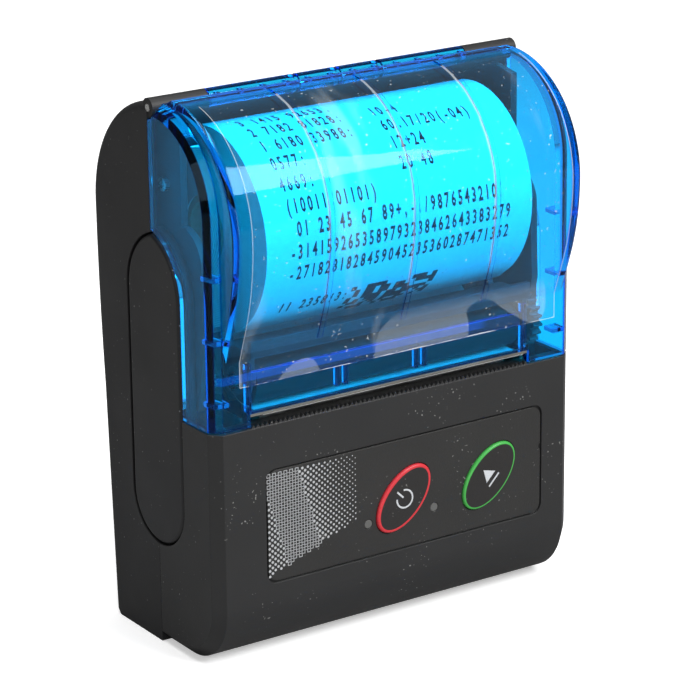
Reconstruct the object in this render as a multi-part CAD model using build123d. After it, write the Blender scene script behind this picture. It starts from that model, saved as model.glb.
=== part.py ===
"""Portable thermal printer with a clear hinged cover, drawn as separate pieces at real size.

While a piece is drawn, x runs to the right, y runs to the back from the flat front face, and z runs
up from the base. The finished pieces are then moved so that the origin is the middle of the base.
"""

import math
import os

from build123d import *

# Overall sizes in millimetres
WIDTH = 79.2
HALF = WIDTH / 2
WALL = 1.8
PARTING_Y = 19.7
PARTING_GAP = 0.1
FRONT_TOP = 45.4
BACK_Y = 39.95
EDGE_CHAMFER = 2.0
BASE_RADIUS = 12.0

# Hinge of the cover
HINGE_Y, HINGE_Z = 19.65, 100.66
KNUCKLE_R = 1.75
PIN_R = 0.70
PIN_FIT = 0.05
COVER_KNUCKLE_HALF = 27.65
KNUCKLE_GAP = 0.25
HINGE_CLEARANCE = 0.35

# Clear cover
COVER_WALL = 1.6
COVER_BOTTOM = 45.8
COVER_BACK = 19.5
COVER_ARC_R = 18.2
COVER_ARC_Z = 83.3
SKIRT_INNER = 38.1
SLOT_LEFT, SLOT_RIGHT = -31.9, 29.3
SLOT_TOP = 48.2
BARREL_FRONT = -5.2
BARREL_Z = 81.0
BARREL_R = 21.0
BARREL_LOW_R = 47.1
BARREL_FOOT_Z = 58.3
BARREL_HALF = 37.4
BARREL_RIB_XS = (-17.6, 0.3, 18.1)
RIB_HEIGHT = 0.25
RIB_WIDTH = 1.0
GUSSET_COUNT = 12
GUSSET_PITCH = 4.8
FILM_THICKNESS = 0.10
FILM_LEFT, FILM_RIGHT = -34.2, 34.9
FILM_BOTTOM, FILM_BACK = 53.6, 11.0

# Side grips
GRIP_FRONT, GRIP_REAR = 10.75, 28.3
GRIP_MIDDLE = 19.6
GRIP_LOW, GRIP_HIGH = 19.5, 78.0
GRIP_LOW_Z, GRIP_HIGH_Z = 28.3, 66.5
GRIP_SEAT = 37.6
GRIP_GAP = 0.25

# Paper roll and its bay
ROLL_Y, ROLL_Z, ROLL_R = 17.8, 77.4, 18.6
PAPER_HALF = 28.7
CORE_R = 6.3
CORE_WALL = 1.2
BAY_R = 19.1
BAY_WALL = 1.0
EAR_INNER, EAR_OUTER = 34.6, 36.0

# Platen roller, gears and motor
PLATEN_Y, PLATEN_Z, PLATEN_R = 7.8, 52.2, 4.65
PLATEN_HALF = 28.9
SHAFT_R = 1.5
RUNNING_FIT = 0.05
GEAR_MODULE = 0.5
PLATEN_TEETH, IDLER_TEETH, MOTOR_TEETH = 20, 30, 12
GEAR_LEFT, GEAR_RIGHT = 31.8, 33.8
GEAR_PLAY = 0.12
MOTOR_R = 6.5

# Front panel and its buttons
PANEL_LEFT, PANEL_RIGHT = -29.0, 32.5
PANEL_LOW, PANEL_HIGH = 15.2, 37.0
PANEL_RADIUS = 2.0
PANEL_DEPTH = 0.45
PANEL_GROOVE = 0.35
BUTTON_LONG, BUTTON_SHORT = 7.3, 4.43
BUTTON_TILT = 46.0
BUTTON_TRAVEL = 0.5
BUTTON_GAP = 0.15
BUTTON_CENTRES = {"power_button": (0.75, 25.2), "feed_button": (20.1, 25.4)}
LIGHT_CENTRES = {"power_light": (-7.0, 21.8), "status_light": (7.7, 21.8)}
LIGHT_R = 0.85

# Battery, circuit board and fasteners
DOOR_LEFT, DOOR_RIGHT = -31.5, 19.5
DOOR_LOW, DOOR_HIGH = 6.2, 50.0
DOOR_GAP = 0.25
DOOR_WALL = 1.6
DOOR_PIVOT_Y, DOOR_PIVOT_Z = 36.2, 7.3
DOOR_PIN_R = 0.6
BATTERY_LEFT, BATTERY_RIGHT = -30.5, 18.5
BOARD_FRONT, BOARD_BACK = 6.6, 7.8
BOSS_X, BOSS_ZS = 34.6, (8.5, 27.0)
SCREW_R = 0.95
SOCKET_BACK, SOCKET_LOW, SOCKET_HIGH = 10.4, 12.4, 19.6
SWITCH_TOP = 4.1
TOOTH_PITCH = 0.95
TOOTH_HEIGHT = 0.65

# The origin is the middle of the base of the box round the whole printer
FRONTMOST = BARREL_FRONT - RIB_HEIGHT - FILM_THICKNESS
ORIGIN_Y = (FRONTMOST + BACK_Y) / 2


def side_prism(outline, x_from, x_to):
    """Extrude a flat shape drawn in the side view (y, z) between two x positions."""
    return Pos(x_from, 0, 0) * extrude(Plane.YZ * outline, amount=x_to - x_from)


def face_of(*edges):
    """Fill a closed loop of edges."""
    return make_face([edge for curve in edges for edge in curve.edges()])


def block(x_from, x_to, y_from, y_to, z_from, z_to):
    """A box between its lowest and highest corners."""
    middle = Pos((x_from + x_to) / 2, (y_from + y_to) / 2, (z_from + z_to) / 2)
    return middle * Box(x_to - x_from, y_to - y_from, z_to - z_from)


def rod(x_from, x_to, y, z, radius):
    """A round bar along x."""
    return Pos((x_from + x_to) / 2, y, z) * Rot(0, 90, 0) * Cylinder(radius, x_to - x_from)


def peg(x, z, y_from, y_to, radius):
    """A round bar along y."""
    return Pos(x, (y_from + y_to) / 2, z) * Rot(90, 0, 0) * Cylinder(radius, y_to - y_from)


def both_sides(piece):
    """A piece and its mirror image across the middle plane."""
    return piece + mirror(piece, about=Plane.YZ)


def outer_edges(prism, test):
    """The long curved or straight edges that lie on the two side planes of a prism."""
    found = []
    for edge in prism.edges():
        centre = edge.center()
        ends = [vertex.X for vertex in edge.vertices()]
        if abs(abs(centre.X) - abs(ends[0])) < 1e-6 and ends[0] == ends[-1] and test(centre):
            found.append(edge)
    return found


def grip_shape(grow=0.0):
    """The long capsule of a side grip: round below and a little pointed above."""
    shoulder = (GRIP_FRONT + 2.1, GRIP_HIGH_Z + 6.8)
    other = (GRIP_REAR - 2.1, GRIP_HIGH_Z + 6.8)
    shape = face_of(
        Line((GRIP_FRONT, GRIP_LOW_Z), (GRIP_FRONT, GRIP_HIGH_Z)),
        ThreePointArc((GRIP_FRONT, GRIP_HIGH_Z), shoulder, (GRIP_MIDDLE, GRIP_HIGH)),
        ThreePointArc((GRIP_MIDDLE, GRIP_HIGH), other, (GRIP_REAR, GRIP_HIGH_Z)),
        Line((GRIP_REAR, GRIP_HIGH_Z), (GRIP_REAR, GRIP_LOW_Z)),
        ThreePointArc((GRIP_REAR, GRIP_LOW_Z), (GRIP_MIDDLE, GRIP_LOW), (GRIP_FRONT, GRIP_LOW_Z)),
    )
    return offset(shape, amount=grow) if grow else shape


def grip_recess():
    """The pocket in both shells that a grip is set into."""
    return both_sides(side_prism(grip_shape(GRIP_GAP), GRIP_SEAT, HALF + 1))


def grip_pads(y_from, y_to, z_to):
    """Thick patches inside the side walls, behind the grips."""
    pads = both_sides(side_prism(grip_shape(1.0), GRIP_SEAT - 1.4, HALF - WALL + 0.1))
    return pads & block(-HALF, HALF, y_from, y_to, 0, z_to)


def rear_profile(inset=0.0):
    """Side outline of the rear shell, or the same outline moved inwards by the wall."""
    centre_y, centre_z, radius = 18.2, 79.9, BACK_Y - 18.2 - inset
    low, mid, high = (36.3 - inset, inset), (38.7 - inset, 45.0), (BACK_Y - inset, centre_z)
    lean = math.radians(45)
    crest = math.radians(81)
    shoulder = (centre_y + radius * math.cos(lean), centre_z + radius * math.sin(lean))
    top = (centre_y + radius * math.cos(crest), centre_z + radius * math.sin(crest))
    return face_of(
        Line((PARTING_Y, inset), low),
        Line(low, (low[0] + 0.5, inset + 0.6)),
        Line((low[0] + 0.5, inset + 0.6), mid),
        ThreePointArc(mid, (39.62 - inset, 62.0), high),
        ThreePointArc(high, shoulder, top),
        Line(top, (PARTING_Y, top[1])),
        Line((PARTING_Y, top[1]), (PARTING_Y, inset)),
    )


def boss_holes(radius, y_from, y_to):
    """The four screw holes that run from the back to the front shell."""
    return [peg(side * BOSS_X, z, y_from, y_to, radius) for side in (-1, 1) for z in BOSS_ZS]


def rear_shell():
    """Back half of the case, with the fixed hinge knuckles and the battery opening."""
    shell = side_prism(rear_profile(), -HALF, HALF)
    shell = fillet(outer_edges(shell, lambda c: c.Y > 30 or c.Z > 90), 1.5)
    cavity = side_prism(rear_profile(WALL), -HALF + WALL, HALF - WALL)
    shell -= cavity + Pos(0, -1, 0) * cavity
    shell += grip_pads(PARTING_Y, 40, 100)
    shell += sum_of(boss_holes(2.6, PARTING_Y, 36.6)) & side_prism(rear_profile(0.5), -HALF, HALF)
    shell -= grip_recess()
    knuckles = rod(COVER_KNUCKLE_HALF + KNUCKLE_GAP, HALF - 0.2, HINGE_Y, HINGE_Z, KNUCKLE_R)
    shell -= rod(-COVER_KNUCKLE_HALF - KNUCKLE_GAP, COVER_KNUCKLE_HALF + KNUCKLE_GAP,
                 HINGE_Y, HINGE_Z, KNUCKLE_R + HINGE_CLEARANCE)
    shell += both_sides(knuckles)
    shell -= rod(-HALF, HALF, HINGE_Y, HINGE_Z, PIN_R + PIN_FIT)
    shell -= sum_of(boss_holes(SCREW_R + 0.15, PARTING_Y - 1, 41))
    shell -= sum_of(boss_holes(2.1, 35.6, 41))
    shell -= block(DOOR_LEFT, DOOR_RIGHT, 30, 42, DOOR_LOW, DOOR_HIGH)
    shell -= rod(DOOR_LEFT - 1, DOOR_RIGHT + 1, DOOR_PIVOT_Y, DOOR_PIVOT_Z, DOOR_PIN_R + PIN_FIT)
    return shell


def sum_of(pieces):
    """Join a list of pieces into one shape."""
    total = pieces[0]
    for piece in pieces[1:]:
        total += piece
    return total


def battery_door():
    """Door of the battery bay, flush with the back of the case, with two pins at its foot."""
    opening = block(DOOR_LEFT + DOOR_GAP, DOOR_RIGHT - DOOR_GAP, 30, 42,
                    DOOR_LOW + DOOR_GAP, DOOR_HIGH - DOOR_GAP)
    skin = side_prism(rear_profile(), -HALF, HALF) - side_prism(rear_profile(DOOR_WALL), -HALF, HALF)
    door = skin & opening & block(-HALF, HALF, 33, 42, 0, 60)
    lower_edge = [edge for edge in door.edges() if edge.center().Z < DOOR_LOW + DOOR_GAP + 0.01
                  and edge.center().Y > DOOR_PIVOT_Y + 0.5]
    door = fillet(lower_edge, 0.8)
    door += rod(DOOR_LEFT - 0.7, DOOR_LEFT + 2, DOOR_PIVOT_Y, DOOR_PIVOT_Z, DOOR_PIN_R)
    door += rod(DOOR_RIGHT - 2, DOOR_RIGHT + 0.7, DOOR_PIVOT_Y, DOOR_PIVOT_Z, DOOR_PIN_R)
    middle = (DOOR_LEFT + DOOR_RIGHT) / 2
    nail_groove = block(middle - 7, middle + 7, BACK_Y - 1.6, BACK_Y, DOOR_HIGH - 5.7, DOOR_HIGH - 4.3)
    return door - nail_groove


def front_profile():
    """Side outline of the lower front shell, with its large rounded foot."""
    knee = BASE_RADIUS * (1 - math.cos(math.radians(45)))
    back = PARTING_Y - PARTING_GAP
    return face_of(
        Line((back, 0), (BASE_RADIUS, 0)),
        ThreePointArc((BASE_RADIUS, 0), (knee, knee), (0, BASE_RADIUS)),
        Line((0, BASE_RADIUS), (0, FRONT_TOP)),
        Line((0, FRONT_TOP), (back, FRONT_TOP)),
        Line((back, FRONT_TOP), (back, 0)),
    )


def front_cavity():
    """Space inside the front shell, open at the back and behind the tear edge."""
    knee = WALL + (BASE_RADIUS - WALL) * (1 - math.cos(math.radians(45)))
    deck = FRONT_TOP - WALL
    return face_of(
        Line((PARTING_Y, WALL), (BASE_RADIUS, WALL)),
        ThreePointArc((BASE_RADIUS, WALL), (knee, knee), (WALL, BASE_RADIUS)),
        Polyline((WALL, BASE_RADIUS), (WALL, deck), (4.2, deck), (4.2, 60), (PARTING_Y, 60),
                 (PARTING_Y, WALL)),
    )


def button_shape(name, grow=0.0):
    """Tilted oval of a button, placed on the front face."""
    x, z = BUTTON_CENTRES[name]
    oval = Rot(0, 0, BUTTON_TILT) * Ellipse(BUTTON_LONG + grow, BUTTON_SHORT + grow)
    return Plane(origin=(x, 0, z), x_dir=(1, 0, 0), z_dir=(0, -1, 0)) * oval


def panel_shape(shrink=0.0):
    """Rounded rectangle of the front panel."""
    middle = ((PANEL_LEFT + PANEL_RIGHT) / 2, 0, (PANEL_LOW + PANEL_HIGH) / 2)
    plane = Plane(origin=middle, x_dir=(1, 0, 0), z_dir=(0, -1, 0))
    return plane * RectangleRounded(PANEL_RIGHT - PANEL_LEFT - 2 * shrink,
                                    PANEL_HIGH - PANEL_LOW - 2 * shrink, PANEL_RADIUS)


def pressed_in(shape, y_from, y_to):
    """Extrude a shape of the front face into the case, between two depths."""
    return Pos(0, y_to, 0) * extrude(shape, amount=y_to - y_from)


def panel_holes(grow):
    """Holes for the two buttons and the two small lights, through the front wall."""
    holes = [pressed_in(button_shape(name, BUTTON_GAP), -1, WALL + 1) for name in BUTTON_CENTRES]
    holes += [peg(x, z, -1, WALL + 1, LIGHT_R + grow) for x, z in LIGHT_CENTRES.values()]
    return sum_of(holes)


def tear_teeth():
    """Row of small teeth along the upper edge of the front shell."""
    count = int((SLOT_RIGHT - SLOT_LEFT) / TOOTH_PITCH)
    start = (SLOT_LEFT + SLOT_RIGHT - count * TOOTH_PITCH) / 2
    points = [(start, FRONT_TOP - 0.2)]
    for index in range(count):
        left = start + index * TOOTH_PITCH
        points.append((left, FRONT_TOP))
        points.append((left + TOOTH_PITCH / 2, FRONT_TOP + TOOTH_HEIGHT))
    points.append((start + count * TOOTH_PITCH, FRONT_TOP))
    points.append((start + count * TOOTH_PITCH, FRONT_TOP - 0.2))
    comb = make_face(Polyline(*points, close=True).edges())
    upright = Plane(origin=(0, 1.0, 0), x_dir=(1, 0, 0), z_dir=(0, -1, 0))
    return extrude(upright * comb, amount=0.9)


def front_shell():
    """Lower front of the case, with the panel recess, tear teeth and the ears behind the grips."""
    shell = side_prism(front_profile(), -HALF, HALF)
    shell = chamfer(outer_edges(shell, lambda c: c.Y < 5), EDGE_CHAMFER)
    shell -= side_prism(front_cavity(), -HALF + WALL, HALF - WALL)
    shell += grip_pads(0, PARTING_Y - PARTING_GAP, 100)
    bosses = sum_of(boss_holes(2.5, 1.0, PARTING_Y - PARTING_GAP))
    shell += bosses & side_prism(front_profile(), -HALF, HALF)
    shell -= grip_recess()
    shell -= sum_of(boss_holes(SCREW_R, 5.0, PARTING_Y + 1))
    shell -= pressed_in(panel_shape(), -1, PANEL_DEPTH)
    shell -= panel_holes(0.0)
    shell -= block(HALF - 4, HALF + 1, BOARD_BACK, SOCKET_BACK + 0.2, SOCKET_LOW - 0.2, SOCKET_HIGH + 0.2)
    return shell + tear_teeth()


def side_grip(side):
    """Soft inlay on one side of the case, with a rounded rim."""
    grip = side_prism(grip_shape(), GRIP_SEAT + 0.02, HALF)
    rim = [edge for edge in grip.edges() if abs(edge.center().X - HALF) < 0.01
           and all(abs(vertex.X - HALF) < 0.01 for vertex in edge.vertices())]
    grip = fillet(rim, 0.8)
    return grip if side > 0 else mirror(grip, about=Plane.YZ)


def cover_box_profile(inset=0.0):
    """Side outline of the cover's plain body, up to the hinge."""
    radius = COVER_ARC_R - inset
    diagonal = radius * math.sin(math.radians(45))
    low = COVER_BOTTOM - (5 if inset else 0)
    back = COVER_BACK + (6 if inset else 0)
    top = COVER_ARC_Z + radius
    shoulder = (COVER_ARC_R - diagonal, COVER_ARC_Z + diagonal)
    return face_of(
        Line((inset, low), (inset, COVER_ARC_Z)),
        ThreePointArc((inset, COVER_ARC_Z), shoulder, (COVER_ARC_R, top)),
        Polyline((COVER_ARC_R, top), (back, top), (back, low), (inset, low)),
    )


def barrel_profile(inset=0.0, back=16.8):
    """Side outline of the bulging barrel: a long arc below, a tighter one above."""
    front = BARREL_FRONT + inset
    radius = BARREL_R - inset
    low_r = BARREL_LOW_R - inset
    centre_y = BARREL_FRONT + BARREL_R
    low_y = BARREL_FRONT + BARREL_LOW_R
    lean_a, lean_b = math.asin(8.0 / BARREL_LOW_R), math.asin(16.0 / BARREL_LOW_R)
    mid_low = (low_y - low_r * math.cos(lean_a), BARREL_Z - low_r * math.sin(lean_a))
    end_low = (low_y - low_r * math.cos(lean_b), BARREL_Z - low_r * math.sin(lean_b))
    diagonal = radius * math.sin(math.radians(45))
    shoulder = (centre_y - diagonal, BARREL_Z + diagonal)
    top = (centre_y, BARREL_Z + radius)
    foot = (inset, BARREL_FOOT_Z)
    edges = [
        Line(foot, end_low),
        ThreePointArc(end_low, mid_low, (front, BARREL_Z)),
        ThreePointArc((front, BARREL_Z), shoulder, top),
        Polyline(top, (back, top[1]), (back, BARREL_Z), (12, BARREL_FOOT_Z), foot),
    ]
    return face_of(*edges)


def cover_outer():
    """Outside of the cover as one solid, before it is hollowed."""
    body = side_prism(cover_box_profile(), -HALF, HALF)
    body = chamfer(outer_edges(body, lambda c: c.Y < 8), EDGE_CHAMFER)
    barrel = side_prism(barrel_profile(), -BARREL_HALF, BARREL_HALF)
    barrel = fillet(outer_edges(barrel, lambda c: c.Y < 3), 1.2)
    return body + barrel


def cover_ribs():
    """Shallow raised ribs round the barrel."""
    hoop = barrel_profile(-RIB_HEIGHT, 17) - barrel_profile(0.5, 20)
    hoop = hoop & Pos(3, 85) * Rectangle(22, 50)
    return [side_prism(hoop, x - RIB_WIDTH / 2, x + RIB_WIDTH / 2) for x in BARREL_RIB_XS]


def gussets():
    """Small ribs that stiffen the cover between its barrel and its hinge tube."""
    wedge = make_face(Polyline((14.5, 101.0), (15.8, 101.95), (19.3, 101.95), (19.3, 101.0),
                               close=True).edges())
    first = -GUSSET_PITCH * (GUSSET_COUNT - 1) / 2
    xs = [first + index * GUSSET_PITCH for index in range(GUSSET_COUNT)]
    return [side_prism(wedge, x - 0.35, x + 0.35) for x in xs]


def skirt_shelves():
    """Little shelves between the side skirt and the barrel, and the fins behind the front wall."""
    shelves = [both_sides(block(35.6, 38.4, COVER_WALL - 0.2, 4.2, z, z + 0.8)) for z in (50.0, 61.5, 73.0)]
    rail = block(SLOT_LEFT + 1, SLOT_RIGHT, COVER_WALL - 0.3, 2.7, 53.0, 55.4)
    fins = [block(x, x + 0.7, COVER_WALL - 0.3, 2.6, SLOT_TOP + 1.2, 53.2) for x in (-13.0, -11.2, 4.2, 6.0)]
    posts = [block(x, x + 0.9, COVER_WALL - 0.3, 2.7, SLOT_TOP, 57.0) for x in (SLOT_LEFT, SLOT_RIGHT - 0.9)]
    return shelves + [rail] + fins + posts


def cover():
    """Clear hinged cover: a thin shell with side skirts, a bulging barrel and the long hinge tube."""
    shell = cover_outer()
    inside = side_prism(cover_box_profile(COVER_WALL), -SKIRT_INNER, SKIRT_INNER)
    inside += side_prism(barrel_profile(COVER_WALL, 26), -BARREL_HALF + COVER_WALL, BARREL_HALF - COVER_WALL)
    shell -= inside
    shell += sum_of(skirt_shelves() + cover_ribs())
    shell -= both_sides(side_prism(grip_shape(0.4 + GRIP_GAP), 30, HALF + 1))
    shell -= both_sides(block(SKIRT_INNER - 2, HALF + 1, GRIP_FRONT - 0.3, 30, COVER_BOTTOM - 1, 60))
    shell -= block(SLOT_LEFT, SLOT_RIGHT, -1, 5, COVER_BOTTOM - 1, SLOT_TOP)
    end_length = HALF - COVER_KNUCKLE_HALF + 1
    shell -= both_sides(rod(COVER_KNUCKLE_HALF, COVER_KNUCKLE_HALF + end_length, HINGE_Y, HINGE_Z,
                            KNUCKLE_R + HINGE_CLEARANCE))
    shell -= block(-HALF, HALF, HINGE_Y, 30, 90, 110)
    tube = rod(-COVER_KNUCKLE_HALF, COVER_KNUCKLE_HALF, HINGE_Y, HINGE_Z, KNUCKLE_R)
    shell += sum_of([tube] + gussets())
    for x in (-9.1, -0.1, 8.9):
        groove = rod(x - 0.4, x + 0.4, HINGE_Y, HINGE_Z, KNUCKLE_R + 1)
        shell -= groove - rod(x - 1, x + 1, HINGE_Y, HINGE_Z, KNUCKLE_R - 0.45)
    return shell - rod(-HALF, HALF, HINGE_Y, HINGE_Z, PIN_R + PIN_FIT)


def window_film():
    """Thin protective film stretched over the ribs of the barrel."""
    gap = RIB_HEIGHT + 0.01
    front = -gap - FILM_THICKNESS
    outside = barrel_profile(front, 17)
    sheet = outside - barrel_profile(-gap, 20)
    top = COVER_ARC_Z + COVER_ARC_R + 5
    frame = Pos((FILM_BACK - 10) / 2, (FILM_BOTTOM + top) / 2) * Rectangle(FILM_BACK + 10, top - FILM_BOTTOM)
    curved = side_prism(sheet & frame, FILM_LEFT, FILM_RIGHT)
    return curved + block(FILM_LEFT, FILM_RIGHT, front, -gap, FILM_BOTTOM, BARREL_FOOT_Z)


def hinge_pin():
    """Steel pin through all the knuckles."""
    return rod(-HALF + 0.15, HALF - 0.15, HINGE_Y, HINGE_Z, PIN_R)


def paper_roll():
    """Roll of receipt paper, wound on a card core."""
    roll = rod(-PAPER_HALF, PAPER_HALF, ROLL_Y, ROLL_Z, ROLL_R)
    return roll - rod(-HALF, HALF, ROLL_Y, ROLL_Z, CORE_R)


def paper_core():
    """Card tube in the middle of the roll."""
    tube = rod(-PAPER_HALF + 0.2, PAPER_HALF - 0.2, ROLL_Y, ROLL_Z, CORE_R)
    return tube - rod(-HALF, HALF, ROLL_Y, ROLL_Z, CORE_R - CORE_WALL)


def paper_path(gap, side_step):
    """Points of the free paper, from the roll down to the platen, for one face of the sheet."""
    across, up = ROLL_Y - PLATEN_Y, ROLL_Z - PLATEN_Z
    span = math.hypot(across, up)
    along = (PLATEN_R - ROLL_R) / span
    square = math.sqrt(1 - along * along)
    normal = ((along * across + square * up) / span, (along * up - square * across) / span)
    reach = gap + side_step
    start = (ROLL_Y + (ROLL_R + reach) * normal[0], ROLL_Z + (ROLL_R + reach) * normal[1])
    radius = PLATEN_R + reach
    touch = (PLATEN_Y + radius * normal[0], PLATEN_Z + radius * normal[1])
    lean = (math.atan2(normal[1], normal[0]) - math.pi / 2) / 2
    mid = (PLATEN_Y + radius * math.cos(lean), PLATEN_Z + radius * math.sin(lean))
    return start, touch, mid, (PLATEN_Y, PLATEN_Z - radius), (0.9, PLATEN_Z - radius)


def paper_tail():
    """Free end of the paper, from the roll round the platen to the tear edge."""
    a_start, a_touch, a_mid, a_low, a_end = paper_path(0.25, 0.0)
    b_start, b_touch, b_mid, b_low, b_end = paper_path(0.25, 0.1)
    sheet = face_of(
        Line(a_start, a_touch),
        ThreePointArc(a_touch, a_mid, a_low),
        Line(a_low, a_end),
        Line(a_end, b_end),
        Line(b_end, b_low),
        ThreePointArc(b_low, b_mid, b_touch),
        Line(b_touch, b_start),
        Line(b_start, a_start),
    )
    return side_prism(sheet, -PAPER_HALF, PAPER_HALF)


def ear_shape():
    """Side wall of the paper bay; its front edge bulges forward below the roll's axis."""
    return face_of(
        Polyline((7.3, 74.8), (6.9, 60), (9.5, 47.0), (29.5, 47.0), (36.4, 60), (37.3, 80)),
        ThreePointArc((37.3, 80), (31.4, 93.2), (19.5, 98.2)),
        Polyline((19.5, 98.2), (13.6, 97.0), (13.6, 80.2)),
        ThreePointArc((13.6, 80.2), (9.4, 78.4), (7.3, 74.8)),
    )


def paper_bay():
    """Dark inner frame that holds the roll: a trough, a ramp to the print head and two side walls."""
    ring = Circle(BAY_R + BAY_WALL) - Circle(BAY_R)
    reach = BAY_R + 6
    sector = make_face(Polyline((0, 0), (reach, -reach * math.tan(math.radians(50))), (reach * 1.2, 0),
                                (reach, reach * math.tan(math.radians(48))), close=True).edges())
    trough = side_prism(Pos(ROLL_Y, ROLL_Z) * (ring & sector), -EAR_INNER - 0.1, EAR_INNER + 0.1)
    start, touch, _, _, _ = paper_path(1.0, 0.0)
    under, below, _, _, _ = paper_path(2.1, 0.0)
    ramp_face = make_face(Polyline((start[0] + 1.2, start[1] + 0.9), touch, below,
                                   (under[0] + 1.2, under[1] + 0.9), close=True).edges())
    ramp = side_prism(ramp_face, -29.6, 29.6)
    climb = (start[1] - touch[1]) / (start[0] - touch[0])
    cheek_foot = (13.4, touch[1] + climb * (13.4 - touch[0]))
    cheek_face = make_face(Polyline(cheek_foot, (start[0] + 1.2, start[1] + 0.9), (33.2, 66.0), (18.0, 66.0),
                                    (13.4, 58.0), close=True).edges())
    cheek = side_prism(cheek_face, 29.4, 30.6)
    ears = side_prism(ear_shape(), EAR_INNER, EAR_OUTER)
    bay = trough + ramp + both_sides(cheek) + both_sides(ears)
    bay -= both_sides(rod(30, 38, 18.3, 86.9, 0.85))
    return bay


def pan_screw_x(side, x, y, z, length):
    """Pan head screw along x with a cross recess, its head facing outwards."""
    screw = rod(x, x + 0.9, y, z, 1.25) + rod(x - length, x + 0.1, y, z, 0.8)
    recess = block(x + 0.5, x + 1, y - 0.75, y + 0.75, z - 0.15, z + 0.15)
    recess += block(x + 0.5, x + 1, y - 0.15, y + 0.15, z - 0.75, z + 0.75)
    screw -= recess
    return screw if side > 0 else mirror(screw, about=Plane.YZ)


def ear_screws():
    """Two small steel screws that hold the side walls of the bay, seen through the cover."""
    return [pan_screw_x(side, EAR_OUTER + 0.05, 18.3, 86.9, 3.5) for side in (-1, 1)]


def case_screws():
    """Four screws that draw the two shells together from the back."""
    screws = []
    for head in boss_holes(1.9, 35.7, 36.7):
        centre = head.center()
        shank = peg(centre.X, centre.Z, 8.0, 35.8, SCREW_R - 0.03)
        cross = block(centre.X - 1.1, centre.X + 1.1, 36.2, 37, centre.Z - 0.2, centre.Z + 0.2)
        cross += block(centre.X - 0.2, centre.X + 0.2, 36.2, 37, centre.Z - 1.1, centre.Z + 1.1)
        screws.append(head + shank - cross)
    return screws


def gear(teeth, bore, x_from, x_to, y, z, turn):
    """Spur gear with straight flanks; turn is the angle of its first tooth from +y towards +z."""
    pitch_r = GEAR_MODULE * teeth / 2
    step = 2 * math.pi / teeth
    root, tip = pitch_r - 1.25 * GEAR_MODULE, pitch_r + 0.95 * GEAR_MODULE
    points = []
    for index in range(teeth):
        angle = math.radians(turn) + index * step
        for radius, half in ((root, 0.33), (pitch_r, 0.225), (tip, 0.10)):
            points.append((radius, angle - half * step))
        for radius, half in ((tip, 0.10), (pitch_r, 0.225), (root, 0.33)):
            points.append((radius, angle + half * step))
    outline = Polyline(*[(r * math.cos(a), r * math.sin(a)) for r, a in points], close=True)
    wheel = make_face(outline.edges()) - Circle(bore)
    return side_prism(Pos(y, z) * wheel, x_from, x_to)


def away_from_hinge():
    """Unit direction from the platen to the idler: straight against the way the cover opens."""
    across, up = PLATEN_Y - HINGE_Y, PLATEN_Z - HINGE_Z
    length = math.hypot(across, up)
    return -up / length, across / length


def idler_centre():
    """Centre of the idler gear, in mesh behind the platen gear."""
    reach = GEAR_MODULE * (PLATEN_TEETH + IDLER_TEETH) / 2 + GEAR_PLAY
    direction = away_from_hinge()
    return PLATEN_Y + reach * direction[0], PLATEN_Z + reach * direction[1]


def motor_centre():
    """Centre of the motor shaft, in mesh below the idler gear."""
    reach = GEAR_MODULE * (MOTOR_TEETH + IDLER_TEETH) / 2 + GEAR_PLAY
    y, z = idler_centre()
    return y + reach * math.sin(math.radians(12)), z - reach * math.cos(math.radians(12))


def platen_roller():
    """Black rubber sleeve of the platen."""
    sleeve = rod(-PLATEN_HALF, PLATEN_HALF, PLATEN_Y, PLATEN_Z, PLATEN_R)
    return sleeve - rod(-HALF, HALF, PLATEN_Y, PLATEN_Z, SHAFT_R)


def platen_shaft():
    """Steel shaft of the platen."""
    return rod(-31.2, GEAR_RIGHT + 0.3, PLATEN_Y, PLATEN_Z, SHAFT_R)


def platen_gear():
    """Gear on the right end of the platen shaft."""
    direction = away_from_hinge()
    turn = math.degrees(math.atan2(direction[1], direction[0]))
    return gear(PLATEN_TEETH, SHAFT_R, GEAR_LEFT, GEAR_RIGHT, PLATEN_Y, PLATEN_Z, turn)


def idler_turn():
    """Angle of a tooth of the idler, so that a gap of it meets the platen gear's tooth."""
    direction = away_from_hinge()
    towards = math.degrees(math.atan2(-direction[1], -direction[0]))
    return towards + 180 / IDLER_TEETH


def idler_gear():
    """Idler gear that drives the platen when the cover is shut."""
    y, z = idler_centre()
    return gear(IDLER_TEETH, 1.0 + RUNNING_FIT, GEAR_LEFT, GEAR_RIGHT, y, z, idler_turn())


def motor_gear():
    """Small gear on the motor shaft."""
    y, z = motor_centre()
    idler_y, idler_z = idler_centre()
    towards = math.degrees(math.atan2(idler_z - z, idler_y - y))
    step = 360 / IDLER_TEETH
    phase = ((towards + 180 - idler_turn()) / step) % 1.0
    turn = towards + (phase + 0.5) * 360 / MOTOR_TEETH
    return gear(MOTOR_TEETH, 0.75, GEAR_LEFT, GEAR_RIGHT, y, z, turn)


def motor_shaft():
    """Shaft of the stepper motor."""
    y, z = motor_centre()
    return rod(29.6, GEAR_RIGHT + 0.3, y, z, 0.75)


def stepper_motor():
    """Can of the stepper motor, with a round face and a bearing collar."""
    y, z = motor_centre()
    can = rod(19.8, 30.5, y, z, MOTOR_R)
    return can - rod(29.3, 40, y, z, 0.75 + RUNNING_FIT)


def platen_bushes():
    """Two bearing rings at the ends of the platen."""
    ring = rod(29.3, 30.6, PLATEN_Y, PLATEN_Z, 2.6) - rod(20, 40, PLATEN_Y, PLATEN_Z, SHAFT_R + RUNNING_FIT)
    return [ring, mirror(ring, about=Plane.YZ)]


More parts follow.
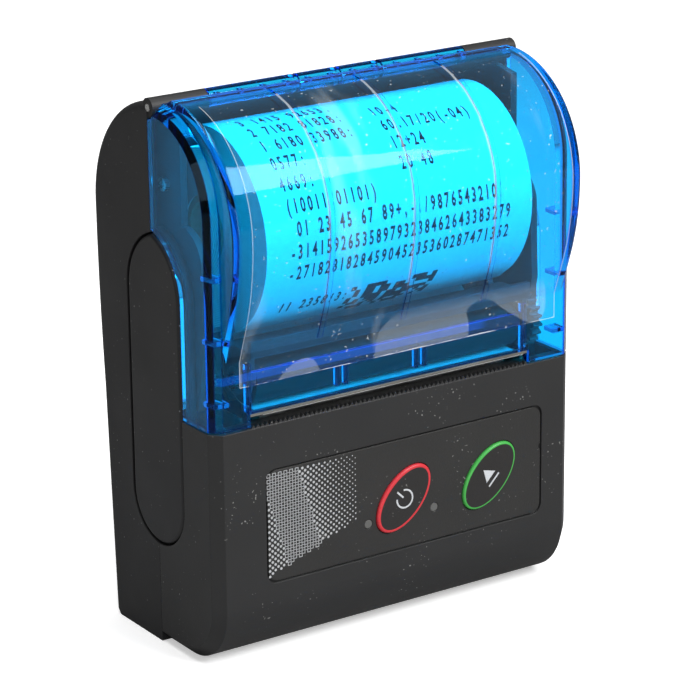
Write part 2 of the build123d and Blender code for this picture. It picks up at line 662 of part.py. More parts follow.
def platen_bracket():
    """Dark carrier on the cover that holds the platen by its ends."""
    beam = block(-30.6, 30.6, 2.2, 11.0, 57.6, 59.0)
    lip = block(-30.6, 30.6, 2.2, 3.2, 57.6, 61.0)
    plate = make_face(Polyline((4.6, 50.0), (11.2, 50.0), (11.2, 58.8), (3.0, 58.8), (3.0, 53.0),
                               close=True).edges())
    ends = both_sides(side_prism(plate, 29.3, 30.6))
    bore = both_sides(rod(29, 31, PLATEN_Y, PLATEN_Z, 2.6))
    gap = block(-29.3, 29.3, 1, 13, 45, 57.6)
    return beam + lip + ends - bore - gap


def tear_bar():
    """Thin steel strip under the lower edge of the cover."""
    return block(SLOT_LEFT + 0.15, SLOT_RIGHT - 0.15, 0.35, 2.4, SLOT_TOP - 0.62, SLOT_TOP - 0.02)


def print_head():
    """Ceramic print head, with its raised heater line under the platen."""
    plate = block(-26.5, 26.5, 4.8, 11.2, 46.15, 46.95)
    line = block(-25.0, 25.0, PLATEN_Y - 0.6, PLATEN_Y + 0.6, 46.9, 47.1)
    return plate + line


def heat_sink():
    """Metal block that carries the print head, with ribs below."""
    sink = block(-27.0, 27.0, 4.8, 11.2, 41.6, 46.15)
    grooves = [block(x, x + 2.4, 4, 12, 41, 43.4) for x in range(-25, 25, 5)]
    return sink - sum_of(grooves)


def head_springs():
    """Three short springs that press the print head up."""
    return [Pos(x, 8.0, 39.55) * (Cylinder(2.0, 4.0) - Cylinder(1.4, 5.0)) for x in (-18.7, 1.3, 16.3)]


def print_chassis():
    """Folded steel frame of the print mechanism, with the plates that hold motor and idler."""
    base = block(-31.5, 31.5, 4.8, 12.0, 36.4, 37.5)
    left = block(-31.5, -30.9, 4.8, 14.0, 36.4, 46.0)
    plate = make_face(Polyline((4.8, 36.4), (14.0, 36.4), (15.0, 31.0), (28.6, 31.0), (28.6, 46.0),
                               (25.0, 53.0), (15.5, 53.0), (12.0, 47.0), (12.0, 46.0), (4.8, 46.0),
                               close=True).edges())
    right = side_prism(plate, 30.9, 31.5)
    y, z = idler_centre()
    stud = rod(31.0, GEAR_RIGHT + 0.4, y, z, 1.0)
    motor_y, motor_z = motor_centre()
    return base + left + right + stud - rod(30, 32, motor_y, motor_z, 1.6)


def main_board():
    """Circuit board behind the front wall, with a tongue for the charging socket."""
    board = block(-30.4, 30.4, BOARD_FRONT, BOARD_BACK, 4.2, 31.6)
    board += block(30.0, 36.6, BOARD_FRONT, BOARD_BACK, SOCKET_LOW - 0.8, SOCKET_HIGH + 1.2)
    for x in (-27.5, 27.5):
        board -= peg(x, 7.0, 5, 9, 1.1)
    return board


def key_switches():
    """Two push switches on the board, under the buttons."""
    switches = []
    for x, z in BUTTON_CENTRES.values():
        body = block(x - 2.2, x + 2.2, SWITCH_TOP + 0.5, BOARD_FRONT, z - 2.2, z + 2.2)
        switches.append(body + peg(x, z, SWITCH_TOP, SWITCH_TOP + 0.6, 1.0))
    return switches


def board_chips():
    """Main chips and modules on the back of the board."""
    sizes = ((-20, 18, 10, 10, 1.4), (-4, 14, 14, 9, 1.8), (12, 22, 8, 6, 1.2), (22, 24, 5, 5, 3.2))
    return [block(x - w / 2, x + w / 2, BOARD_BACK, BOARD_BACK + t, z - h / 2, z + h / 2)
            for x, z, w, h, t in sizes]


def charging_socket():
    """Metal socket for the charging lead, in the right side wall."""
    front, back, wall = BOARD_BACK, SOCKET_BACK, 0.3
    shell = block(32.0, HALF - 0.4, front, back, SOCKET_LOW, SOCKET_HIGH)
    shell = fillet(shell.edges().filter_by(Axis.X), 0.6)
    shell -= block(33.0, HALF + 1, front + wall, back - wall, SOCKET_LOW + wall, SOCKET_HIGH - wall)
    middle = (front + back) / 2
    return shell + block(32.5, HALF - 1.4, middle - 0.35, middle + 0.35, SOCKET_LOW + 1.3, SOCKET_HIGH - 1.3)


def battery_pack():
    """Rechargeable pack with rounded edges, in its bay behind the door."""
    pack = block(BATTERY_LEFT, BATTERY_RIGHT, 22.0, 34.4, 7.6, 48.6)
    return fillet(pack.edges().filter_by(Axis.Z), 2.0)


def overlay_panel():
    """Front film with openings for the buttons and the lights."""
    film = pressed_in(panel_shape(PANEL_GROOVE), 0.05, PANEL_DEPTH - 0.02)
    notch = peg(PANEL_RIGHT - 0.35, 28.6, -1, 1, 0.55)
    return film - panel_holes(0.05) - notch


def button(name):
    """Oval push button with a softly domed top and a flange that keeps it in the case."""
    cap = pressed_in(button_shape(name), -0.45, WALL + 0.4)
    top = [edge for edge in cap.edges() if edge.center().Y < -0.4]
    cap = fillet(top, 0.42)
    flange = pressed_in(button_shape(name, 0.9), WALL + 0.1, WALL + 0.9)
    stem = peg(*BUTTON_CENTRES[name], WALL + 0.8, SWITCH_TOP - BUTTON_TRAVEL - 0.1, 1.6)
    return cap + flange + stem


def light(name):
    """Small round light window in the front panel."""
    x, z = LIGHT_CENTRES[name]
    return peg(x, z, 0.1, 3.4, LIGHT_R - 0.03)


def pieces():
    """Every piece of the printer by its name; a list is a group of like pieces."""
    made = {
        "rear_shell": rear_shell(),
        "front_shell": front_shell(),
        "left_grip": side_grip(-1),
        "right_grip": side_grip(1),
        "overlay_panel": overlay_panel(),
        "cover": cover(),
        "window_film": window_film(),
        "hinge_pin": hinge_pin(),
        "tear_bar": tear_bar(),
        "platen_bracket": platen_bracket(),
        "platen_bushes": platen_bushes(),
        "platen_roller": platen_roller(),
        "platen_shaft": platen_shaft(),
        "platen_gear": platen_gear(),
        "idler_gear": idler_gear(),
        "motor_gear": motor_gear(),
        "motor_shaft": motor_shaft(),
        "stepper_motor": stepper_motor(),
        "print_head": print_head(),
        "heat_sink": heat_sink(),
        "head_springs": head_springs(),
        "print_chassis": print_chassis(),
        "paper_bay": paper_bay(),
        "paper_roll": paper_roll(),
        "paper_core": paper_core(),
        "paper_tail": paper_tail(),
        "ear_screws": ear_screws(),
        "case_screws": case_screws(),
        "main_board": main_board(),
        "key_switches": key_switches(),
        "board_chips": board_chips(),
        "charging_socket": charging_socket(),
        "battery_pack": battery_pack(),
        "battery_door": battery_door(),
    }
    made.update({name: button(name) for name in BUTTON_CENTRES})
    made.update({name: light(name) for name in LIGHT_CENTRES})
    return made


def main():
    """Write one file for each piece."""
    os.makedirs("parts", exist_ok=True)
    to_origin = Pos(0, -ORIGIN_Y, 0)
    for name, piece in pieces().items():
        if isinstance(piece, list):
            solids = [to_origin * solid for member in piece for solid in member.solids()]
        else:
            solids = [to_origin * solid for solid in piece.solids()]
        whole = solids[0] if len(solids) == 1 else Compound(children=solids)
        export_step(whole, f"parts/{name}.step")
        print(name, len(solids))
    print("origin y", round(ORIGIN_Y, 3))


main()
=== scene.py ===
"""Looks of a portable thermal printer: clear blue hinged cover, black case and printed paper roll."""
import logging
import math
import random
from dataclasses import dataclass
from enum import Enum
from functools import cache

import bmesh
import bpy
from mathutils import Matrix, Vector


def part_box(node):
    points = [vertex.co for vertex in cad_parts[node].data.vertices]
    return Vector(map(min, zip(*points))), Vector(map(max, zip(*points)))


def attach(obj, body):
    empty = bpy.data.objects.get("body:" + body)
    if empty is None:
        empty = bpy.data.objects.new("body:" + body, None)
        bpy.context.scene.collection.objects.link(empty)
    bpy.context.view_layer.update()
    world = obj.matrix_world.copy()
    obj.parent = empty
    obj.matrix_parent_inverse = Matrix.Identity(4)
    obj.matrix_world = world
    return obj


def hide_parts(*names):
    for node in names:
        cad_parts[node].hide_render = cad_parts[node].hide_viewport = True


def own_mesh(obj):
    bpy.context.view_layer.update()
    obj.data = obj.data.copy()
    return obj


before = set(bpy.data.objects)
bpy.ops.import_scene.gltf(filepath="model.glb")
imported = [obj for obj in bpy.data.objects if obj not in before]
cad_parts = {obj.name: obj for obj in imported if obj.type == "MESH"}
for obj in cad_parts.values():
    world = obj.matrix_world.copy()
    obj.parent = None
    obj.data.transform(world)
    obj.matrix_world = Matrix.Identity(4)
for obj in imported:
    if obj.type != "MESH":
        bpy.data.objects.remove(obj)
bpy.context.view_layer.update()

LOG = logging.getLogger("printer")
MM = 0.001
WHITE = (1.0, 1.0, 1.0, 1.0)
Colour = tuple[float, float, float]
Place = tuple[float, float, float]
# A low and a high value.
Span = tuple[float, float]
# A low and a high value, and what they give.
Ramp = tuple[float, float, float, float]


class Wiring:
    """Adds nodes to one node tree and links them."""

    def __init__(self, tree: bpy.types.NodeTree) -> None:
        """Keep the tree that the nodes go into."""
        self.tree = tree

    def feed(self, socket: bpy.types.NodeSocket, value: object) -> None:
        """Link a socket to another one, or set its value.

        Args:
            socket: the input that is fed.
            value: an output socket, a number or a tuple.
        """
        if isinstance(value, bpy.types.NodeSocket):
            self.tree.links.new(value, socket)
        else:
            socket.default_value = value

    def node(self, kind: str, inputs: dict | None = None, **settings: object) -> bpy.types.Node:
        """Add one node.

        Args:
            kind: the type of node, without its ShaderNode prefix.
            inputs: values or sockets by the name or number of the input.
            settings: attributes of the node.

        Returns:
            The new node.
        """
        made = self.tree.nodes.new("ShaderNode" + kind)
        for name, value in settings.items():
            setattr(made, name, value)
        for name, value in (inputs or {}).items():
            self.feed(made.inputs[name], value)
        return made

    def math(self, operation: str, first: object, *others: object) -> bpy.types.NodeSocket:
        """Work on one number, or on several from left to right.

        Args:
            operation: Blender's name of the operation.
            first: a number or socket.
            others: more numbers or sockets.

        Returns:
            The socket of the result.
        """
        if not others:
            return self.node("Math", {0: first}, operation=operation).outputs[0]
        result = first
        for other in others:
            result = self.node("Math", {0: result, 1: other}, operation=operation).outputs[0]
        return result

    def centred(self, value: object) -> bpy.types.NodeSocket:
        """Let a value of 0 to 1 run from -0.5 to 0.5."""
        return self.math("SUBTRACT", value, 0.5)

    def ramp(self, value: object, low: float, high: float, start: object = 0.0,
             end: object = 1.0) -> bpy.types.NodeSocket:
        """Turn a range of a value smoothly into another range.

        Args:
            value: the socket that is read.
            low: the value that gives start.
            high: the value that gives end.
            start: the result at low.
            end: the result at high.

        Returns:
            The socket of the result.
        """
        inputs = {"Value": value, "From Min": low, "From Max": high, "To Min": start, "To Max": end}
        return self.node("MapRange", inputs, interpolation_type="SMOOTHSTEP").outputs["Result"]

    def mix(self, share: object, first: object, second: object) -> bpy.types.NodeSocket:
        """Mix two colours.

        Args:
            share: the share of the second colour, a number or socket.
            first: the colour at 0.
            second: the colour at 1.

        Returns:
            The socket of the mixed colour.
        """
        return self.node("Mix", {0: share, 6: first, 7: second}, data_type="RGBA").outputs[2]

    def tint(self, colour: object, shade: object) -> bpy.types.NodeSocket:
        """Make a colour darker or lighter by a factor."""
        return self.node("VectorMath", {0: colour, "Scale": shade}, operation="SCALE").outputs[0]

    def coords(self) -> bpy.types.NodeSocket:
        """Give the place on the piece, in metres."""
        return self.node("TexCoord").outputs["Object"]

    def noise(self, place: object, scale: object, detail: float = 2.0) -> bpy.types.NodeSocket:
        """Give soft noise of a scale, as features per metre."""
        return self.node("TexNoise", {"Vector": place, "Scale": scale, "Detail": detail}).outputs["Fac"]

    def edges(self, radius: float) -> tuple[bpy.types.NodeSocket, bpy.types.NodeSocket]:
        """Round the edges of a piece in its light, not in its shape.

        Args:
            radius: the radius of the rounding.

        Returns:
            The rounded normal, and 1 where it is the true one and less towards an edge.
        """
        rounded = self.node("Bevel", {"Radius": radius}, samples=4).outputs[0]
        sharp = self.node("NewGeometry").outputs["Normal"]
        turn = self.node("VectorMath", {0: rounded, 1: sharp}, operation="DOT_PRODUCT").outputs["Value"]
        return rounded, turn

    def dress(self, shader: bpy.types.Node, effect: bpy.types.Node, colour: bpy.types.NodeSocket) -> None:
        """Give a shader its colour, and the roughness and the normal of a shared effect.

        Args:
            shader: the shader of the material.
            effect: the group node of the effect.
            colour: the colour.
        """
        self.feed(shader.inputs["Base Color"], colour)
        self.feed(shader.inputs["Roughness"], effect.outputs["Roughness"])
        self.feed(shader.inputs["Normal"], effect.outputs["Normal"])


def rgba(colour: Colour) -> tuple[float, float, float, float]:
    """Add full cover to a colour."""
    return (*colour, 1.0)


def new_group(name: str, inputs: dict[str, object], outputs: dict[str, str]) -> tuple:
    """Start a shader node group.

    Args:
        name: the name of the group.
        inputs: the default value of each input, a number or a colour.
        outputs: the socket type of each output.

    Returns:
        The group, its wiring, its input node and its output node.
    """
    group = bpy.data.node_groups.new(name, "ShaderNodeTree")
    for label, value in inputs.items():
        kind = "NodeSocketFloat" if isinstance(value, float) else "NodeSocketColor"
        kind = "NodeSocketVector" if isinstance(value, Vector) else kind
        socket = group.interface.new_socket(label, in_out="INPUT", socket_type=kind)
        socket.default_value = value
    for label, kind in outputs.items():
        group.interface.new_socket(label, in_out="OUTPUT", socket_type=kind)
    wiring = Wiring(group)
    start = group.nodes.new("NodeGroupInput")
    end = group.nodes.new("NodeGroupOutput")
    return group, wiring, start, end


class Effects:
    """The effects that several materials share, each a node group that is built once."""

    SURFACE = {"Colour": "NodeSocketColor", "Roughness": "NodeSocketFloat", "Normal": "NodeSocketVector"}
    DUST_COLOUR = (0.42, 0.42, 0.40, 1.0)
    # Scales of the patterns, in features per metre.
    CLOUD = 70.0
    SPECK = 2300.0
    DUSTY_SPOT = 150.0
    STREAK = 2500.0
    METAL_CLOUD = 180.0
    # Values of a pattern between which its mask runs from 0 to 1.
    SPECK_MASK: Span = (0.79, 0.82)
    SPOT_MASK: Span = (0.5, 0.62)
    EDGE_MASK: Span = (0.99, 0.80)
    # How strongly the masks change the surface.
    EDGE_RADIUS = 0.25 * MM
    WORN_SHADE = 2.5
    WORN_GLOSS = 0.4
    UNEVEN_GLOSS = 0.22
    SPECK_HEIGHT = 0.5
    GRAIN_RELIEF = 0.06 * MM
    STREAK_RELIEF = 0.03 * MM
    METAL_SHADE: Ramp = (0.6, 1.4, 0.78, 1.1)
    METAL_GLOSS: Ramp = (0.3, 0.7, 0.8, 1.35)

    @classmethod
    @cache
    def moulded(cls) -> bpy.types.NodeTree:
        """Give the group for moulded plastic, rubber and card.

        Returns:
            A group that puts out a colour, a roughness and a normal.
        """
        inputs = {"Colour": (0.1, 0.1, 0.1, 1.0), "Variation": 0.1, "Roughness": 0.5, "Grain": 4000.0,
                  "Depth": 0.2, "Dust": 0.3, "Wear": 0.3}
        group, wiring, start, end = new_group("moulded surface", inputs, cls.SURFACE)
        place = wiring.coords()
        grain = wiring.noise(place, start.outputs["Grain"], 3.0)
        cloud = wiring.noise(place, cls.CLOUD)
        speck = wiring.ramp(wiring.noise(place, cls.SPECK, 0.0), *cls.SPECK_MASK)
        thin = wiring.ramp(wiring.noise(place, cls.DUSTY_SPOT), *cls.SPOT_MASK)
        dust = wiring.math("MULTIPLY", speck, thin, start.outputs["Dust"])
        rounded, turn = wiring.edges(cls.EDGE_RADIUS)
        worn = wiring.math("MULTIPLY", wiring.ramp(turn, *cls.EDGE_MASK), cloud, start.outputs["Wear"])
        wander = wiring.math("ADD", wiring.centred(cloud), wiring.centred(grain))
        shade = wiring.math("ADD", wiring.math("MULTIPLY", wander, start.outputs["Variation"]), 1.0,
                            wiring.math("MULTIPLY", worn, cls.WORN_SHADE))
        colour = wiring.tint(start.outputs["Colour"], shade)
        wiring.feed(end.inputs["Colour"], wiring.mix(dust, colour, cls.DUST_COLOUR))
        rough = wiring.math("ADD", start.outputs["Roughness"],
                            wiring.math("MULTIPLY", wiring.centred(cloud), cls.UNEVEN_GLOSS))
        rough = wiring.math("SUBTRACT", rough, wiring.math("MULTIPLY", worn, cls.WORN_GLOSS))
        wiring.feed(end.inputs["Roughness"], rough)
        height = wiring.math("ADD", grain, wiring.math("MULTIPLY", speck, cls.SPECK_HEIGHT))
        bump = wiring.node("Bump", {"Strength": start.outputs["Depth"], "Distance": cls.GRAIN_RELIEF,
                                    "Height": height, "Normal": rounded})
        wiring.feed(end.inputs["Normal"], bump.outputs[0])
        return group

    @classmethod
    @cache
    def brushed(cls) -> bpy.types.NodeTree:
        """Give the group for rolled and turned metal.

        Returns:
            A group that puts out a colour, a roughness and a normal.
        """
        inputs = {"Colour": (0.6, 0.6, 0.6, 1.0), "Roughness": 0.3, "Depth": 0.1,
                  "Stretch": Vector((1, 1, 1))}
        group, wiring, start, end = new_group("brushed metal", inputs, cls.SURFACE)
        place = wiring.coords()
        long = wiring.node("Mapping", {"Vector": place, "Scale": start.outputs["Stretch"]}).outputs[0]
        streak = wiring.noise(long, cls.STREAK, 3.0)
        cloud = wiring.noise(place, cls.METAL_CLOUD)
        shade = wiring.ramp(wiring.math("ADD", streak, cloud), *cls.METAL_SHADE)
        wiring.feed(end.inputs["Colour"], wiring.tint(start.outputs["Colour"], shade))
        rough = wiring.math("MULTIPLY", start.outputs["Roughness"], wiring.ramp(streak, *cls.METAL_GLOSS))
        wiring.feed(end.inputs["Roughness"], rough)
        bump = wiring.node("Bump", {"Strength": start.outputs["Depth"], "Distance": cls.STREAK_RELIEF,
                                    "Height": streak})
        wiring.feed(end.inputs["Normal"], bump.outputs[0])
        return group

    @classmethod
    @cache
    def oval(cls) -> bpy.types.NodeTree:
        """Give the group that measures how far a point lies outside an upright or tilted oval.

        Returns:
            A group that puts out a distance in metres, negative inside.
        """
        inputs = {"Centre": Vector((0, 0, 0)), "Half sizes": Vector((1, 1, 1)), "Turn": Vector((0, 0, 0))}
        group, wiring, start, end = new_group("oval distance", inputs, {"Distance": "NodeSocketFloat"})
        inside = wiring.node("Mapping", {"Vector": wiring.coords(), "Location": start.outputs["Centre"],
                                         "Rotation": start.outputs["Turn"],
                                         "Scale": start.outputs["Half sizes"]}, vector_type="TEXTURE")
        flat = wiring.node("VectorMath", {0: inside.outputs[0], 1: (1.0, 0.0, 1.0)}, operation="MULTIPLY")
        steep = wiring.node("VectorMath", {0: flat.outputs[0], 1: start.outputs["Half sizes"]},
                            operation="DIVIDE")
        reach = wiring.node("VectorMath", {0: flat.outputs[0]}, operation="LENGTH").outputs["Value"]
        slope = wiring.node("VectorMath", {0: steep.outputs[0]}, operation="LENGTH").outputs["Value"]
        beyond = wiring.math("MULTIPLY", wiring.math("SUBTRACT", reach, 1.0), reach)
        wiring.feed(end.inputs["Distance"], wiring.math("DIVIDE", beyond, slope))
        return group


def started(name: str) -> tuple:
    """Start a material.

    Args:
        name: the name of the material.

    Returns:
        The material, its wiring, its Principled shader and its output node.
    """
    made = bpy.data.materials.new(name)
    made.use_nodes = True
    tree = made.node_tree
    tree.nodes.clear()
    wiring = Wiring(tree)
    shader = wiring.node("BsdfPrincipled")
    output = wiring.node("OutputMaterial", {"Surface": shader.outputs[0]})
    return made, wiring, shader, output


class Key(Enum):
    """The two keys of the front panel, by the names of their nodes."""

    POWER = "power_button"
    FEED = "feed_button"


KEY_CENTRES = {Key.POWER: (0.75 * MM, 25.2 * MM), Key.FEED: (20.1 * MM, 25.4 * MM)}
KEY_TILT = math.radians(46.0)


@dataclass(frozen=True)
class Moulded:
    """A finish with fine grain, some dust and slightly worn edges."""

    colour: Colour
    roughness: float = 0.5
    variation: float = 0.25
    grain: float = 4000.0
    depth: float = 0.25
    dust: float = 0.35
    wear: float = 0.25
    specular: float = 0.4

    def material(self, name: str) -> bpy.types.Material:
        """Build the material.

        Args:
            name: the name of the material.

        Returns:
            The material.
        """
        made, wiring, shader, _ = started(name)
        values = {"Colour": rgba(self.colour), "Variation": self.variation, "Roughness": self.roughness,
                  "Grain": self.grain, "Depth": self.depth, "Dust": self.dust, "Wear": self.wear}
        effect = wiring.node("Group", values, node_tree=Effects.moulded())
        wiring.dress(shader, effect, self.printed(wiring, effect.outputs["Colour"]))
        shader.inputs["Specular IOR Level"].default_value = self.specular
        return made

    def printed(self, _: Wiring, colour: bpy.types.NodeSocket) -> bpy.types.NodeSocket:
        """Give the colour as it is, because this finish has no print."""
        return colour


@dataclass(frozen=True)
class KeyTop(Moulded):
    """The grained dome of a key, with a printed ring round its rim."""

    colour: Colour = (0.0200, 0.0185, 0.0180)
    roughness: float = 0.36
    grain: float = 2400.0
    depth: float = 0.4
    key: Key = Key.POWER
    ring: Colour = (0.62, 0.035, 0.045)
    ring_width: float = 0.62 * MM
    soft: Span = (0.05 * MM, 0.03 * MM)
    half_long: float = 7.3 * MM
    half_short: float = 4.43 * MM

    def printed(self, wiring: Wiring, colour: bpy.types.NodeSocket) -> bpy.types.NodeSocket:
        """Print the ring.

        Args:
            wiring: the wiring of the material.
            colour: the colour of the key.

        Returns:
            The colour of the key and its ring.
        """
        x, z = KEY_CENTRES[self.key]
        values = {"Centre": (x, 0.0, z), "Half sizes": (self.half_long, 1.0, self.half_short),
                  "Turn": (0.0, -KEY_TILT, 0.0)}
        distance = wiring.node("Group", values, node_tree=Effects.oval()).outputs["Distance"]
        inside, outside = self.soft
        outer = wiring.ramp(distance, -self.ring_width - inside, -self.ring_width + outside)
        return wiring.mix(outer, colour, rgba(self.ring))


@dataclass(frozen=True)
class Metal:
    """Rolled, turned or plated metal with fine streaks along one direction."""

    colour: Colour
    roughness: float = 0.3
    depth: float = 0.12
    stretch: tuple[float, float, float] = (0.04, 1.0, 1.0)

    def material(self, name: str) -> bpy.types.Material:
        """Build the material.

        Args:
            name: the name of the material.

        Returns:
            The material.
        """
        made, wiring, shader, _ = started(name)
        values = {"Colour": rgba(self.colour), "Roughness": self.roughness, "Depth": self.depth,
                  "Stretch": self.stretch}
        effect = wiring.node("Group", values, node_tree=Effects.brushed())
        wiring.dress(shader, effect, effect.outputs["Colour"])
        shader.inputs["Metallic"].default_value = 1.0
        return made


def let_light_in(wiring: Wiring, shader: bpy.types.Node, output: bpy.types.Node, tone: Colour) -> None:
    """Let lamps shine through a clear material.

    Args:
        wiring: the wiring of the material.
        shader: the shader that all other rays meet.
        output: the output node of the material.
        tone: the colour of the light that passes the surface.
    """
    path = wiring.node("LightPath").outputs["Is Shadow Ray"]
    through = wiring.node("BsdfTransparent", {"Color": rgba(tone)})
    both = wiring.node("MixShader", {0: path, 1: shader.outputs[0], 2: through.outputs[0]})
    wiring.feed(output.inputs["Surface"], both.outputs[0])


@dataclass(frozen=True)
class ClearPlastic:
    """Clear tinted plastic, deeper in colour where it is thicker, with painted deep-blue shade at its edges
    and grazing angles, and a painted glow at its edges and at the foot of the barrel.
    """

    tint: Colour = (0.0, 0.875, 0.975)
    density: float = 1600.0
    ior: float = 1.36
    passed: Colour = (0.97, 0.99, 1.0)
    gloss: Colour = (0.45, 0.75, 1.0)
    surface: Colour = (0.72, 0.87, 0.96)
    roughness: float = 0.02
    smeared: Colour = (0.78, 0.90, 0.97)
    smear_scale: float = 240.0
    smear_mask: Span = (0.5, 0.75)
    smear_roughness: float = 0.05
    flow_scale: float = 55.0
    flow_strength: float = 0.25
    flow_relief: float = 0.25 * MM
    # Painted shade: deep blue painted on the edges and where the plastic is seen edge-on, standing in for the
    # longer path of light through it.
    edge: Colour = (0.012, 0.13, 0.85)
    edge_width: float = 0.8 * MM
    edge_mask: Ramp = (0.995, 0.80, 0.0, 0.75)
    painted_shade_grazing_mask: Ramp = (0.55, 1.0, 0.0, 0.9)
    # Painted glow: emission at the edges and at the foot of the barrel, standing in for light carried inside
    # the plastic.
    painted_glow_colour: Colour = (0.0, 0.085, 0.62)
    painted_edge_glow: float = 0.16
    uneven_scale: float = 160.0
    uneven: Ramp = (0.3, 0.7, 0.25, 1.0)
    painted_band_glow: float = 0.42
    band: Span = (54.5 * MM, 56.0 * MM)
    band_soft: float = 0.12 * MM
    band_depth: Span = (6.0 * MM, 6.5 * MM)
    band_right: float = 17.0 * MM
    band_fade: float = 3.0 * MM

    def material(self, name: str) -> bpy.types.Material:
        """Build the material.

        Args:
            name: the name of the material.

        Returns:
            The material.
        """
        made, wiring, shader, output = started(name)
        place = wiring.coords()
        flow = wiring.noise(place, self.flow_scale, 1.0)
        smear = wiring.ramp(wiring.noise(place, self.smear_scale, 3.0), *self.smear_mask)
        rough = wiring.math("ADD", wiring.math("MULTIPLY", smear, self.smear_roughness), self.roughness)
        wiring.feed(shader.inputs["Roughness"], rough)
        edge = wiring.ramp(wiring.edges(self.edge_width)[1], *self.edge_mask)
        grazing = wiring.node("LayerWeight", {"Blend": 0.5}).outputs["Facing"]
        # Painted shade: the mask of the deep blue painted on the edges and at grazing angles.
        painted_deep_shade = wiring.math("MAXIMUM", edge, wiring.ramp(grazing, *self.painted_shade_grazing_mask))
        # Painted glow: emission at the edges and at the foot of the barrel.
        wiring.feed(shader.inputs["Emission Color"], wiring.tint(self.painted_glow_colour, self.painted_glow_share(wiring, edge)))
        shader.inputs["Emission Strength"].default_value = 1.0
        face = wiring.mix(smear, rgba(self.surface), rgba(self.smeared))
        wiring.feed(shader.inputs["Base Color"], wiring.mix(painted_deep_shade, face, rgba(self.edge)))
        bump = wiring.node("Bump", {"Strength": self.flow_strength, "Distance": self.flow_relief,
                                    "Height": flow})
        wiring.feed(shader.inputs["Normal"], bump.outputs[0])
        shader.inputs["Transmission Weight"].default_value = 1.0
        shader.inputs["Specular Tint"].default_value = rgba(self.gloss)
        shader.inputs["IOR"].default_value = self.ior
        let_light_in(wiring, shader, output, self.passed)
        absorb = wiring.node("VolumeAbsorption", {"Color": rgba(self.tint), "Density": self.density})
        wiring.feed(output.inputs["Volume"], absorb.outputs[0])
        return made

    def painted_glow_share(self, wiring: Wiring, edge: bpy.types.NodeSocket) -> bpy.types.NodeSocket:
        """Paint a glow at the edges and at the foot of the barrel, as emission that stands in for light
        carried inside the plastic.

        Args:
            wiring: the wiring of the material.
            edge: the mask of the edges.

        Returns:
            The share of the painted glow.
        """
        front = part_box("cover")[0][1]
        place = wiring.coords()
        split = wiring.node("SeparateXYZ", {0: place}).outputs
        low, high = self.band
        above = wiring.ramp(split[2], low - self.band_soft, low + self.band_soft)
        below = wiring.ramp(split[2], high - self.band_soft, high + self.band_soft, 1.0, 0.0)
        near = wiring.ramp(split[1], front + self.band_depth[0], front + self.band_depth[1], 1.0, 0.0)
        left = wiring.ramp(split[0], self.band_right, self.band_right + self.band_fade, 1.0, 0.0)
        # Painted glow in a band at the foot of the barrel.
        strong = wiring.math("MULTIPLY", above, below, near, left, self.painted_band_glow)
        uneven = wiring.ramp(wiring.noise(place, self.uneven_scale), *self.uneven)
        faint = wiring.math("MULTIPLY", edge, uneven, self.painted_edge_glow)
        return wiring.math("MAXIMUM", strong, faint)


